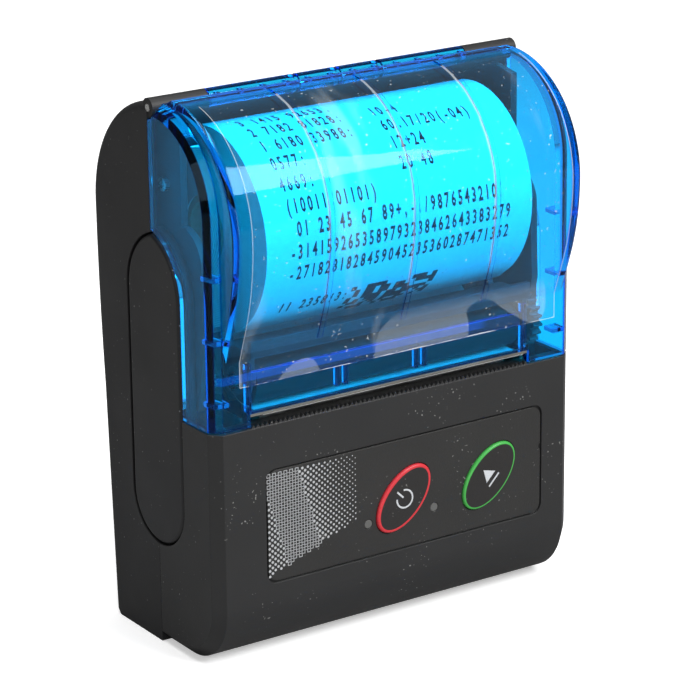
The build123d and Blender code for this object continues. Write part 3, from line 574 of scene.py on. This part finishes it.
@dataclass(frozen=True)
class ProtectiveFilm:
    """Thin loose film with creases, dust, whitish cut edges and painted highlights along the cover's ribs."""

    clear: Colour = (0.80, 0.90, 0.96)
    hazy_and_highlight_colour: Colour = (0.9, 0.9, 0.86)
    passed: Colour = (0.97, 0.98, 0.98)
    least_cover: float = 0.008
    haze_and_highlight_cover: float = 0.36
    haze_and_highlight_roughness: Ramp = (0.0, 1.0, 0.08, 0.45)
    edge: float = 0.05 * MM
    crease_scale: float = 130.0
    crease_stretch: tuple[float, float, float] = (1.0, 0.25, 0.25)
    crease_mask: Ramp = (0.60, 0.74, 0.0, 0.16)
    crease_strength: float = 0.5
    crease_relief: float = 0.6 * MM
    wave_scale: float = 260.0
    wave: float = 0.9 * MM
    speck_scale: float = 1800.0
    speck_mask: Ramp = (0.80, 0.83, 0.0, 0.6)
    grit_scale: float = 1500.0
    grit_mask: Ramp = (0.79, 0.83, 0.0, 0.7)
    patch_scale: float = 75.0
    patch_mask: Ramp = (0.50, 0.515, 0.0, 0.20)
    patch_top: float = 63.0 * MM
    patch_fade: float = 4.0 * MM
    # Painted highlights: whitish streaks painted along the left flank of each rib, where light reflects off
    # the film.
    ribs: tuple[float, ...] = (-17.6 * MM, 0.3 * MM, 18.1 * MM)
    painted_highlight_offset: float = 0.75 * MM
    painted_highlight_sway: float = 0.6
    painted_highlight_line: Span = (0.16 * MM, 0.34 * MM)
    painted_highlight_scale: float = 60.0
    painted_highlight_mask: Ramp = (0.35, 0.6, 0.10, 0.42)
    painted_highlight_above: Span = (2.0 * MM, 8.0 * MM)

    def material(self, name: str) -> bpy.types.Material:
        """Build the material.

        Args:
            name: the name of the material.

        Returns:
            The material.
        """
        made, wiring, shader, output = started(name)
        place = wiring.coords()
        split = wiring.node("SeparateXYZ", {0: place}).outputs
        long = wiring.node("Mapping", {"Vector": place, "Scale": self.crease_stretch}).outputs[0]
        crease = wiring.noise(long, self.crease_scale)
        wave = wiring.math("MULTIPLY", wiring.centred(wiring.noise(place, self.wave_scale)), self.wave)
        near_foot = wiring.ramp(split[2], self.patch_top, self.patch_top - self.patch_fade)
        speck = wiring.ramp(wiring.noise(place, self.speck_scale, 0.0), *self.speck_mask)
        grit = wiring.ramp(wiring.noise(place, self.grit_scale, 0.0), *self.grit_mask)
        patch = wiring.ramp(wiring.noise(place, self.patch_scale, 0.0), *self.patch_mask)
        # The film's own cut edges, specks, creases, grit and patches, together with the painted highlights
        # along the ribs.
        haze_and_painted_highlight = wiring.math("MAXIMUM", self.cut_edges(wiring, split, wave), self.painted_rib_highlights(wiring, split, wave),
                           speck, wiring.ramp(crease, *self.crease_mask),
                           wiring.math("MULTIPLY", grit, near_foot),
                           wiring.math("MULTIPLY", patch, near_foot))
        cover = wiring.math("ADD", wiring.math("MULTIPLY", haze_and_painted_highlight, self.haze_and_highlight_cover), self.least_cover)
        wiring.feed(shader.inputs["Alpha"], cover)
        wiring.feed(shader.inputs["Base Color"], wiring.mix(haze_and_painted_highlight, rgba(self.clear), rgba(self.hazy_and_highlight_colour)))
        wiring.feed(shader.inputs["Roughness"], wiring.ramp(haze_and_painted_highlight, *self.haze_and_highlight_roughness))
        bump = wiring.node("Bump", {"Strength": self.crease_strength, "Distance": self.crease_relief,
                                    "Height": crease})
        wiring.feed(shader.inputs["Normal"], bump.outputs[0])
        let_light_in(wiring, shader, output, self.passed)
        return made

    def cut_edges(self, wiring: Wiring, split: object, wave: bpy.types.NodeSocket) -> bpy.types.NodeSocket:
        """Find the whitish cut edges of the film, of which the lower one wanders.

        Args:
            wiring: the wiring of the material.
            split: the three coordinates.
            wave: a small wandering of the line.

        Returns:
            The mask of the edges.
        """
        low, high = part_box("window_film")
        left = wiring.ramp(split[0], low[0] + self.edge, low[0] + 2.0 * self.edge, 1.0, 0.0)
        right = wiring.ramp(split[0], high[0] - 2.0 * self.edge, high[0] - self.edge)
        height = wiring.math("ADD", split[2], wave)
        foot = wiring.ramp(height, low[2] + self.edge, low[2] + 2.5 * self.edge, 1.0, 0.0)
        return wiring.math("MAXIMUM", left, right, foot)

    def painted_rib_highlights(self, wiring: Wiring, split: object, wave: bpy.types.NodeSocket) -> bpy.types.NodeSocket:
        """Find the painted highlights: whitish streaks painted along the left flank of each rib, where light
        reflects off the film.

        Args:
            wiring: the wiring of the material.
            split: the three coordinates.
            wave: a small wandering of the line.

        Returns:
            The mask of the painted highlights.
        """
        along = wiring.ramp(wiring.noise(wiring.coords(), self.painted_highlight_scale, 1.0), *self.painted_highlight_mask)
        sway = wiring.math("MULTIPLY", wave, self.painted_highlight_sway)
        lines = []
        for rib in self.ribs:
            distance = wiring.math("ABSOLUTE", wiring.math("ADD", split[0], self.painted_highlight_offset - rib, sway))
            lines.append(wiring.ramp(distance, *self.painted_highlight_line, 1.0, 0.0))
        lowest, highest = self.painted_highlight_above
        high = wiring.ramp(split[2], self.patch_top + lowest, self.patch_top + highest)
        return wiring.math("MULTIPLY", wiring.math("MAXIMUM", *lines), along, high)


@dataclass(frozen=True)
class WoundPaper:
    """Smooth white paper whose ends show the edges of the turns, and are darkened with painted shade."""

    colour: Colour = (0.88, 0.90, 0.90)
    turn: float = 0.33 * MM
    uneven_scale: float = 120.0
    uneven: float = 0.5 * MM
    end_mask: Span = (0.6, 0.9)
    # Painted shade: the ends of the roll are darkened as if they lay in shade.
    painted_end_shade: float = 0.38
    line_mask: Span = (-0.2, 1.0)
    line_shade: float = 0.25
    fibre_scale: float = 900.0
    fibre_shade: Ramp = (0.3, 0.7, 0.97, 1.02)
    fibre_roughness: Ramp = (0.3, 0.7, 0.48, 0.62)
    fibre_height: float = 0.3
    strength: float = 0.3
    relief: float = 0.05 * MM

    def material(self, name: str) -> bpy.types.Material:
        """Build the material.

        Args:
            name: the name of the material.

        Returns:
            The material.
        """
        made, wiring, shader, _ = started(name)
        low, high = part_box("paper_roll")
        middle = (0.0, (low[1] + high[1]) / 2, (low[2] + high[2]) / 2)
        place = wiring.coords()
        local = wiring.node("VectorMath", {0: place, 1: middle}, operation="SUBTRACT").outputs[0]
        across = wiring.node("VectorMath", {0: local, 1: (0.0, 1.0, 1.0)}, operation="MULTIPLY").outputs[0]
        radius = wiring.node("VectorMath", {0: across}, operation="LENGTH").outputs["Value"]
        uneven = wiring.math("MULTIPLY", wiring.noise(place, self.uneven_scale), self.uneven)
        wound = wiring.math("MULTIPLY", wiring.math("ADD", radius, uneven), 2.0 * math.pi / self.turn)
        side = wiring.node("SeparateXYZ", {0: wiring.node("NewGeometry").outputs["Normal"]}).outputs[0]
        on_end = wiring.ramp(wiring.math("ABSOLUTE", side), *self.end_mask)
        line = wiring.math("MULTIPLY", wiring.ramp(wiring.math("SINE", wound), *self.line_mask), on_end)
        fibre = wiring.noise(place, self.fibre_scale, 4.0)
        # Tone from the fibre, less the real turn lines and a painted shade on the ends.
        shade = wiring.math("SUBTRACT", wiring.ramp(fibre, *self.fibre_shade),
                            wiring.math("MULTIPLY", line, self.line_shade),
                            wiring.math("MULTIPLY", on_end, self.painted_end_shade))
        wiring.feed(shader.inputs["Base Color"], wiring.tint(self.colour, shade))
        wiring.feed(shader.inputs["Roughness"], wiring.ramp(fibre, *self.fibre_roughness))
        height = wiring.math("SUBTRACT", wiring.math("MULTIPLY", fibre, self.fibre_height), line)
        bump = wiring.node("Bump", {"Strength": self.strength, "Distance": self.relief, "Height": height})
        wiring.feed(shader.inputs["Normal"], bump.outputs[0])
        return made


FINISHES = {
    "case_black": Moulded((0.0130, 0.0130, 0.0137), roughness=0.50, dust=0.45),
    "front_black": Moulded((0.0200, 0.0200, 0.0202), roughness=0.47, grain=3600.0, dust=0.5),
    "grip_black": Moulded((0.0085, 0.0085, 0.0092), roughness=0.42, depth=0.12, dust=0.55, wear=0.1),
    "panel_film": Moulded((0.0235, 0.0230, 0.0222), roughness=0.42, grain=2400.0, depth=0.5, dust=0.4),
    "clear_blue": ClearPlastic(),
    "clear_film": ProtectiveFilm(),
    "steel": Metal((0.62, 0.62, 0.61), roughness=0.26),
    "sheet_steel": Metal((0.50, 0.51, 0.52), roughness=0.38),
    "aluminium": Metal((0.72, 0.73, 0.74), roughness=0.42, depth=0.2),
    "ceramic": Moulded((0.62, 0.61, 0.57), roughness=0.22, variation=0.1, grain=2500.0, depth=0.08,
                       dust=0.1, wear=0.1, specular=0.6),
    "paper": WoundPaper(),
    "card": Moulded((0.42, 0.31, 0.20), roughness=0.8, variation=0.5, grain=1500.0, depth=0.4, dust=0.2,
                    wear=0.2),
    "platen_rubber": Moulded((0.016, 0.016, 0.017), roughness=0.62, variation=0.2, grain=3000.0,
                             depth=0.2, dust=0.3, wear=0.1),
    "gear_white": Moulded((0.72, 0.71, 0.67), roughness=0.4, variation=0.12, grain=2500.0, depth=0.1,
                          dust=0.2, wear=0.1),
    "bay_black": Moulded((0.040, 0.042, 0.045), roughness=0.5, dust=0.3),
    "board_green": Moulded((0.012, 0.11, 0.045), roughness=0.3, variation=0.5, grain=700.0, depth=0.3,
                           dust=0.3, wear=0.3, specular=0.6),
    "chip_black": Moulded((0.02, 0.02, 0.021), roughness=0.42, variation=0.2, grain=3500.0, depth=0.2,
                          dust=0.2, wear=0.2),
    "battery_wrap": Moulded((0.03, 0.09, 0.24), roughness=0.28, variation=0.2, grain=900.0, depth=0.15,
                            dust=0.3, wear=0.3, specular=0.6),
    "motor_can": Metal((0.55, 0.55, 0.54), roughness=0.34),
    "lens_grey": Moulded((0.11, 0.11, 0.105), roughness=0.3, variation=0.15, grain=2500.0, depth=0.1,
                         dust=0.2, wear=0.1, specular=0.5),
}
DARK_NYLON = Moulded((0.060, 0.062, 0.065), roughness=0.45, variation=0.12, grain=2500.0, depth=0.1,
                     dust=0.2, wear=0.1)
NODE_FINISHES = {
    "tear_bar": Metal((0.30, 0.29, 0.26), roughness=0.5),
    "platen_bushes": DARK_NYLON,
    "platen_gear": DARK_NYLON,
    "idler_gear": DARK_NYLON,
    "power_button": KeyTop(),
    "feed_button": KeyTop(key=Key.FEED, ring=(0.06, 0.40, 0.07), ring_width=0.46 * MM),
}
PANEL_INK = Moulded((0.52, 0.53, 0.54), roughness=0.5, variation=0.1, grain=2500.0, depth=0.2, dust=0.1,
                    wear=0.0)
KEY_INK = Moulded((0.60, 0.62, 0.64), roughness=0.45, variation=0.1, grain=2500.0, depth=0.2, dust=0.1,
                  wear=0.0)
ROLL_INK = Moulded((0.012, 0.014, 0.022), roughness=0.55, variation=0.3, grain=3000.0, depth=0.1,
                   dust=0.0, wear=0.0)


def finished(name: str, shape: bmesh.types.BMesh, finish: bpy.types.Material, body: str) -> bpy.types.Object:
    """Turn a mesh that is in its place into a piece of the printer.

    Args:
        name: the name of the piece.
        shape: the mesh, freed here.
        finish: its material.
        body: the body that it moves with.

    Returns:
        The piece.
    """
    mesh = bpy.data.meshes.new(name)
    shape.to_mesh(mesh)
    shape.free()
    mesh.materials.append(finish)
    piece = bpy.data.objects.new(name, mesh)
    bpy.context.scene.collection.objects.link(piece)
    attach(piece, body)
    LOG.info("%s: %d faces on %s", name, len(mesh.polygons), body)
    return piece


def thicken(shape: bmesh.types.BMesh, thickness: float) -> None:
    """Give flat faces that look up a thickness.

    Args:
        shape: the flat mesh, in the plane z = 0.
        thickness: how far its faces are raised, in metres.
    """
    raised = bmesh.ops.extrude_face_region(shape, geom=shape.faces[:], use_keep_orig=True)["geom"]
    tops = [item for item in raised if isinstance(item, bmesh.types.BMVert)]
    bmesh.ops.translate(shape, verts=tops, vec=(0.0, 0.0, thickness))
    bmesh.ops.recalc_face_normals(shape, faces=shape.faces[:])


def disc(shape: bmesh.types.BMesh, sides: int, radius: float, place: Vector, turn: float = 0.0) -> list:
    """Add a flat disc and give its corners."""
    where = Matrix.Translation(place) @ Matrix.Rotation(turn, 4, "Z")
    return bmesh.ops.create_circle(shape, cap_ends=True, segments=sides, radius=radius, matrix=where)["verts"]


def ring(shape: bmesh.types.BMesh, sides: int, radius: float, width: float, place: Vector,
         turn: float = 0.0) -> None:
    """Add a flat ring or frame of many sides.

    Args:
        shape: the mesh that it is added to.
        sides: its number of sides.
        radius: the outer radius.
        width: the width of the band.
        place: its centre.
        turn: how far it is turned, in radians.
    """
    face = disc(shape, sides, radius, place, turn)[0].link_faces[0]
    bmesh.ops.inset_individual(shape, faces=[face], thickness=width, use_even_offset=True)
    bmesh.ops.delete(shape, geom=[face], context="FACES_ONLY")


def bar(shape: bmesh.types.BMesh, width: float, height: float, place: Vector) -> None:
    """Add a flat upright bar, given its width, its height and its centre."""
    where = Matrix.Translation(place) @ Matrix.Diagonal((width, height, 1.0, 1.0))
    bmesh.ops.create_grid(shape, x_segments=1, y_segments=1, size=0.5, matrix=where)


@dataclass
class Roll:
    """The printed paper roll."""

    rows_from: float = 83.9
    row_pitch: float = 4.0 * MM
    first_x: float = -24.0 * MM
    char_pitch: float = 1.5 * MM
    char_width: float = 1.12 * MM
    char_height: float = 2.55 * MM
    sign_width: float = 0.56
    sign_height: float = 0.70
    bold: float = 0.022
    ink: float = 0.02 * MM
    lift: float = 0.03 * MM
    strip: float = 0.7 * MM
    cell: float = 1.1 * MM
    cells: tuple[int, int] = (17, 8)
    cell_fill: float = 0.98
    cell_share: float = 0.52
    cells_from: Span = (10.5, 9.7)
    cells_seed: int = 12
    # Rows of figures and marks: the first character's place in the row, then the row.
    rows: tuple[tuple[int, str], ...] = (
        (0, "3 1415 92653."),
        (0, "2 7182 81828:    10-4"),
        (0, "1 6180 33988:    60.17/20(-04)"),
        (0, "0577:            12+24"),
        (0, "4669:            20 48"),
        (0, "(10011 01101)"),
        (1, "01 23 45 67 89+,-./9876543210"),
        (0, "-3141592653589793238462643383279"),
        (0, "-2718281828459045235360287471352"),
        (0, ""),
        (0, "11 235813:"),
    )

    def __post_init__(self) -> None:
        """Read the axis and the radius of the roll from the frame."""
        low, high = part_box("paper_roll")
        self.axis = Vector((0.0, (low[1] + high[1]) / 2, (low[2] + high[2]) / 2))
        self.radius = (high[2] - low[2]) / 2
        self.glyphs: dict[str, bpy.types.Mesh] = {}

    def glyph(self, sign: str) -> bpy.types.Mesh:
        """Make the flat mesh of one sign, once.

        Args:
            sign: a figure or a mark.

        Returns:
            The mesh, centred on its cell.
        """
        if sign not in self.glyphs:
            curve = bpy.data.curves.new("sign", "FONT")
            curve.body = sign
            curve.size = 1.0
            curve.resolution_u = 2
            curve.offset = self.bold
            curve.align_x = "CENTER"
            holder = bpy.data.objects.new("sign", curve)
            bpy.context.scene.collection.objects.link(holder)
            bpy.context.view_layer.update()
            self.glyphs[sign] = bpy.data.meshes.new_from_object(holder)
            bpy.data.objects.remove(holder)
        return self.glyphs[sign]

    def print_rows(self, shape: bmesh.types.BMesh) -> None:
        """Set every row of figures on the flat strip of paper.

        Args:
            shape: the flat mesh that the rows are added to.
        """
        shrink = Matrix.Diagonal((self.char_width / self.sign_width,
                                  self.char_height / self.sign_height, 1.0, 1.0))
        for row, (first, text) in enumerate(self.rows):
            up = -row * self.row_pitch - self.char_height / 2
            for column, sign in enumerate(text):
                if sign == " ":
                    continue
                known = len(shape.verts)
                shape.from_mesh(self.glyph(sign))
                shape.verts.ensure_lookup_table()
                fresh = shape.verts[known:]
                across = self.first_x + (first + column + 0.5) * self.char_pitch
                bmesh.ops.transform(shape, matrix=Matrix.Translation((across, up, 0.0)) @ shrink, verts=fresh)

    def print_blocks(self, shape: bmesh.types.BMesh) -> None:
        """Set a field of plain blocks below the rows.

        Args:
            shape: the flat mesh that the blocks are added to.
        """
        chance = random.Random(self.cells_seed)
        wide, tall = self.cells
        left = self.first_x + self.cells_from[0] * self.char_pitch
        top = -self.cells_from[1] * self.row_pitch
        side = self.cell * self.cell_fill
        for row in range(tall):
            for column in range(wide):
                if chance.random() < self.cell_share:
                    middle = Vector((left + column * self.cell, top - row * self.cell, 0.0))
                    bar(shape, side, side, middle)

    def wrap(self, shape: bmesh.types.BMesh) -> None:
        """Cut the flat print into strips and lay it round the roll.

        Args:
            shape: the flat mesh, whose height runs round the roll.
        """
        lowest = min(vert.co.y for vert in shape.verts)
        highest = max(vert.co.y for vert in shape.verts)
        for step in range(1, int((highest - lowest) / self.strip)):
            everything = shape.verts[:] + shape.edges[:] + shape.faces[:]
            bmesh.ops.bisect_plane(shape, geom=everything, plane_co=(0.0, lowest + step * self.strip, 0.0),
                                   plane_no=(0.0, 1.0, 0.0))
        thicken(shape, self.ink)
        start = math.radians(self.rows_from)
        for vert in shape.verts:
            angle = start + vert.co.y / self.radius
            reach = self.radius + self.lift + vert.co.z
            vert.co = Vector((vert.co.x, self.axis.y - reach * math.cos(angle),
                              self.axis.z + reach * math.sin(angle)))

    def build(self) -> None:
        """Print the roll."""
        shape = bmesh.new()
        self.print_rows(shape)
        self.print_blocks(shape)
        self.wrap(shape)
        finished("roll_print", shape, ROLL_INK.material("roll ink"), "paper")


@dataclass
class Panel:
    """The print on the front panel and on its two keys."""

    left: float = -28.4 * MM
    right: float = -9.3 * MM
    low: float = 16.6 * MM
    high: float = 36.35 * MM
    pitch_x: float = 0.6 * MM
    pitch_z: float = 1.07 * MM
    top_margin: float = 0.3 * MM
    rise: float = 0.363
    lean: float = 0.31
    band_start: float = 1.6 * MM
    band: float = 7.7 * MM
    square: float = 0.75 * MM
    line: float = 0.13 * MM
    dot_sides: int = 8
    left_dot: float = 0.27 * MM
    largest_dot: float = 0.29 * MM
    smallest_dot: float = 0.07 * MM
    ink: float = 0.02 * MM
    mark: float = 1.9 * MM
    mark_line: float = 0.34 * MM
    bar_height: float = 0.72
    half_gap: float = math.radians(38.0)
    ring_steps: int = 28
    merged: float = 0.001 * MM
    triangle: float = 0.85
    triangle_height: float = 0.45 * MM
    line_width: float = 1.7
    line_height: float = -1.35 * MM

    def lay(self, shape: bmesh.types.BMesh, front: float) -> None:
        """Thicken a flat pattern and stand it on the front face.

        Args:
            shape: the flat pattern, with x to the right and y up.
            front: the y of the surface that carries it.
        """
        thicken(shape, self.ink)
        for vert in shape.verts:
            vert.co = Vector((vert.co.x, front - vert.co.z, vert.co.y))

    def halftone(self) -> None:
        """Print the field of small squares and dots that fades to the right."""
        shape = bmesh.new()
        columns = int((self.right - self.left) / self.pitch_x)
        rows = int((self.high - self.low) / self.pitch_z) + 1
        for column in range(columns + 1):
            x = self.left + column * self.pitch_x
            for row in range(rows):
                z = self.low + (row + 0.5 * (column % 2)) * self.pitch_z
                if z > self.high - self.top_margin or z < self.low + (x - self.left) * self.rise:
                    continue
                self.halftone_dot(shape, x, z)
        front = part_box("overlay_panel")[0][1]
        self.lay(shape, front)
        finished("panel_halftone", shape, PANEL_INK.material("panel ink"), "housing")

    def halftone_dot(self, shape: bmesh.types.BMesh, x: float, z: float) -> None:
        """Print one dot of the field, by its place.

        Args:
            shape: the flat pattern.
            x: its place across the panel.
            z: its height.
        """
        from_band = x - (self.left + (self.high - z) * self.lean - self.band_start)
        place = Vector((x, z, 0.0))
        if from_band < 0.0:
            disc(shape, self.dot_sides, self.left_dot, place)
        elif from_band < self.band:
            ring(shape, 4, self.square / math.sqrt(2.0), self.line, place, math.pi / 4.0)
        else:
            fade = 1.0 - (from_band - self.band) / (self.right - self.left)
            disc(shape, self.dot_sides, max(self.smallest_dot, self.largest_dot * fade), place)

    def place_mark(self, shape: bmesh.types.BMesh, carrier: Key) -> None:
        """Turn a mark along its key, lay it on the key's top and finish it.

        Args:
            shape: the flat mark round the origin.
            carrier: the key that carries it.
        """
        key = carrier.value
        where = Matrix.Translation((*KEY_CENTRES[carrier], 0.0)) @ Matrix.Rotation(KEY_TILT, 4, "Z")
        bmesh.ops.transform(shape, matrix=where, verts=shape.verts[:])
        self.lay(shape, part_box(key)[0][1])
        finished(key + "_mark", shape, KEY_INK.material(key + " ink"), key)

    def power_mark(self) -> None:
        """Print an open ring with a bar on the power key."""
        shape = bmesh.new()
        bar(shape, self.mark_line, self.mark, Vector((0.0, self.mark * self.bar_height, 0.0)))
        start = [shape.verts.new((self.mark - side * self.mark_line, 0.0, 0.0)) for side in (0, 1)]
        edge = shape.edges.new(start)
        opened = Matrix.Rotation(math.pi / 2 + self.half_gap, 3, "Z")
        bmesh.ops.rotate(shape, verts=start, cent=(0, 0, 0), matrix=opened)
        bmesh.ops.spin(shape, geom=start + [edge], cent=(0, 0, 0), axis=(0, 0, 1),
                       angle=2.0 * (math.pi - self.half_gap), steps=self.ring_steps)
        bmesh.ops.remove_doubles(shape, verts=shape.verts[:], dist=self.merged)
        self.face_up(shape)
        self.place_mark(shape, Key.POWER)

    def feed_mark(self) -> None:
        """Print a triangle over a line on the feed key."""
        shape = bmesh.new()
        disc(shape, 3, self.mark * self.triangle, Vector((0.0, self.triangle_height, 0.0)))
        bar(shape, self.mark * self.line_width, self.mark_line, Vector((0.0, self.line_height, 0.0)))
        self.face_up(shape)
        self.place_mark(shape, Key.FEED)

    @staticmethod
    def face_up(shape: bmesh.types.BMesh) -> None:
        """Turn every face of a flat pattern up."""
        shape.normal_update()
        bmesh.ops.reverse_faces(shape, faces=[face for face in shape.faces if face.normal.z < 0.0])

    def build(self) -> None:
        """Print the panel and its keys."""
        self.halftone()
        self.power_mark()
        self.feed_mark()


@dataclass
class HeadSprings:
    """The three sleeves that stand for the springs of the print head."""

    travel: float = 0.4 * MM
    merged: float = 0.0005 * MM

    def build(self) -> None:
        """Copy the springs' solids."""
        shape = bmesh.new()
        shape.from_mesh(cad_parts["head_springs"].data)
        bmesh.ops.remove_doubles(shape, verts=shape.verts[:], dist=self.merged)
        steel = Metal((0.66, 0.66, 0.65), 0.22, stretch=(1.0, 1.0, 1.0)).material("spring steel")
        coils = finished("head_spring_coils", shape, steel, "housing")
        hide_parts("head_springs")
        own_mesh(coils)


@dataclass(frozen=True)
class Lamp:
    """One soft square lamp: where it hangs, its side, its power in watts and its strength in gloss."""

    name: str
    place: Place
    size: float
    power: float
    gloss: float = 1.0


@dataclass
class Studio:
    """Floor, lamps and camera."""

    lamps: tuple[Lamp, ...] = (
        Lamp("key", (0.35, -0.75, 0.75), 0.5, 12.0),
        Lamp("top", (-0.05, 0.05, 0.95), 0.7, 7.0),
        Lamp("left", (-0.9, -0.25, 0.4), 0.5, 1.2),
        Lamp("low", (-0.25, -0.85, 0.16), 0.35, 1.5, 0.15),
    )
    target: Vector = Vector((-1.51, -0.29, 51.56)) * MM
    position: Vector = Vector((-307.48, -457.17, 233.62)) * MM
    roll: float = -0.63
    lens: float = 166.4
    sensor: float = 36.0
    nearest: float = 0.01
    world: float = 0.16
    floor_half: float = 3.0
    floor_colour: Colour = (0.90, 0.90, 0.90)
    floor_roughness: float = 0.7
    floor_glow: float = 0.42
    floor_shade: Colour = (0.33, 0.33, 0.33)
    cloud_scale: float = 4.0
    cloud: Ramp = (0.0, 1.0, 0.99, 1.0)

    def camera(self) -> None:
        """Stand the camera where the photograph was taken."""
        data = bpy.data.cameras.new("camera")
        data.lens = self.lens
        data.sensor_width = self.sensor
        data.sensor_fit = "HORIZONTAL"
        data.clip_start = self.nearest
        camera = bpy.data.objects.new("camera", data)
        back = (self.position - self.target).normalized()
        right = Vector((-back.y, back.x, 0.0)).normalized()
        up = back.cross(right)
        angle = math.radians(self.roll)
        side = right * math.cos(angle) + up * math.sin(angle)
        head = up * math.cos(angle) - right * math.sin(angle)
        turned = Matrix((side, head, back)).transposed().to_4x4()
        camera.matrix_world = Matrix.Translation(self.position) @ turned
        bpy.context.scene.collection.objects.link(camera)
        bpy.context.scene.camera = camera

    def hang(self, lamp: Lamp) -> None:
        """Hang one lamp and aim it at the printer.

        Args:
            lamp: the lamp.
        """
        data = bpy.data.lights.new(lamp.name, "AREA")
        data.shape = "SQUARE"
        data.size = lamp.size
        data.energy = lamp.power
        data.specular_factor = lamp.gloss
        hung = bpy.data.objects.new(lamp.name, data)
        look = (self.target - Vector(lamp.place)).to_track_quat("-Z", "Y")
        hung.matrix_world = Matrix.Translation(lamp.place) @ look.to_matrix().to_4x4()
        bpy.context.scene.collection.objects.link(hung)

    def floor(self) -> None:
        """Lay a flat floor, pale to the eye and darker for the light that it throws back."""
        shape = bmesh.new()
        bmesh.ops.create_grid(shape, x_segments=2, y_segments=2, size=self.floor_half)
        mesh = bpy.data.meshes.new("floor")
        shape.to_mesh(mesh)
        shape.free()
        made, wiring, shader, output = started("pale floor")
        cloud = wiring.ramp(wiring.noise(wiring.coords(), self.cloud_scale), *self.cloud)
        wiring.feed(shader.inputs["Base Color"], wiring.tint(self.floor_colour, cloud))
        shader.inputs["Roughness"].default_value = self.floor_roughness
        shader.inputs["Emission Color"].default_value = WHITE
        shader.inputs["Emission Strength"].default_value = self.floor_glow
        shade = wiring.node("BsdfDiffuse", {"Color": rgba(self.floor_shade)})
        seen = self.seen(wiring)
        both = wiring.node("MixShader", {0: seen, 1: shade.outputs[0], 2: shader.outputs[0]})
        wiring.feed(output.inputs["Surface"], both.outputs[0])
        mesh.materials.append(made)
        floor = bpy.data.objects.new("floor", mesh)
        bpy.context.scene.collection.objects.link(floor)

    @staticmethod
    def seen(wiring: Wiring) -> bpy.types.NodeSocket:
        """Give 1 for what is seen directly or through the clear cover, and 0 for all other light."""
        path = wiring.node("LightPath").outputs
        return wiring.math("MAXIMUM", path["Is Camera Ray"], path["Is Transmission Ray"])

    def sky(self) -> None:
        """Surround the printer with white for the camera and softer grey for everything else."""
        world = bpy.data.worlds.new("studio")
        world.use_nodes = True
        tree = world.node_tree
        tree.nodes.clear()
        wiring = Wiring(tree)
        seen = wiring.node("Background", {"Color": WHITE, "Strength": 1.0})
        light = wiring.node("Background", {"Color": WHITE, "Strength": self.world})
        path = self.seen(wiring)
        both = wiring.node("MixShader", {0: path, 1: light.outputs[0], 2: seen.outputs[0]})
        wiring.node("OutputWorld", {"Surface": both.outputs[0]})
        bpy.context.scene.world = world

    def build(self) -> None:
        """Set up the whole studio."""
        self.camera()
        self.floor()
        self.sky()
        for lamp in self.lamps:
            self.hang(lamp)
        bpy.context.scene.view_settings.view_transform = "Standard"


def dress_nodes() -> None:
    """Give every node of the frame its finish, by the slot it was packed with."""
    made: dict[str, bpy.types.Material] = {}
    for name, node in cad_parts.items():
        for place in node.material_slots:
            slot = place.material.name.split(".")[0]
            finish = NODE_FINISHES.get(name) or FINISHES[slot]
            label = name if name in NODE_FINISHES else slot
            if label not in made:
                made[label] = finish.material("finish " + label)
            place.material = made[label]
            LOG.info("%s dressed in %s", name, label)


def main() -> None:
    """Dress the printer and set up the studio."""
    logging.basicConfig(level=logging.INFO, format="%(message)s")
    dress_nodes()
    Roll().build()
    Panel().build()
    HeadSprings().build()
    Studio().build()


if __name__ == "__main__":
    main()
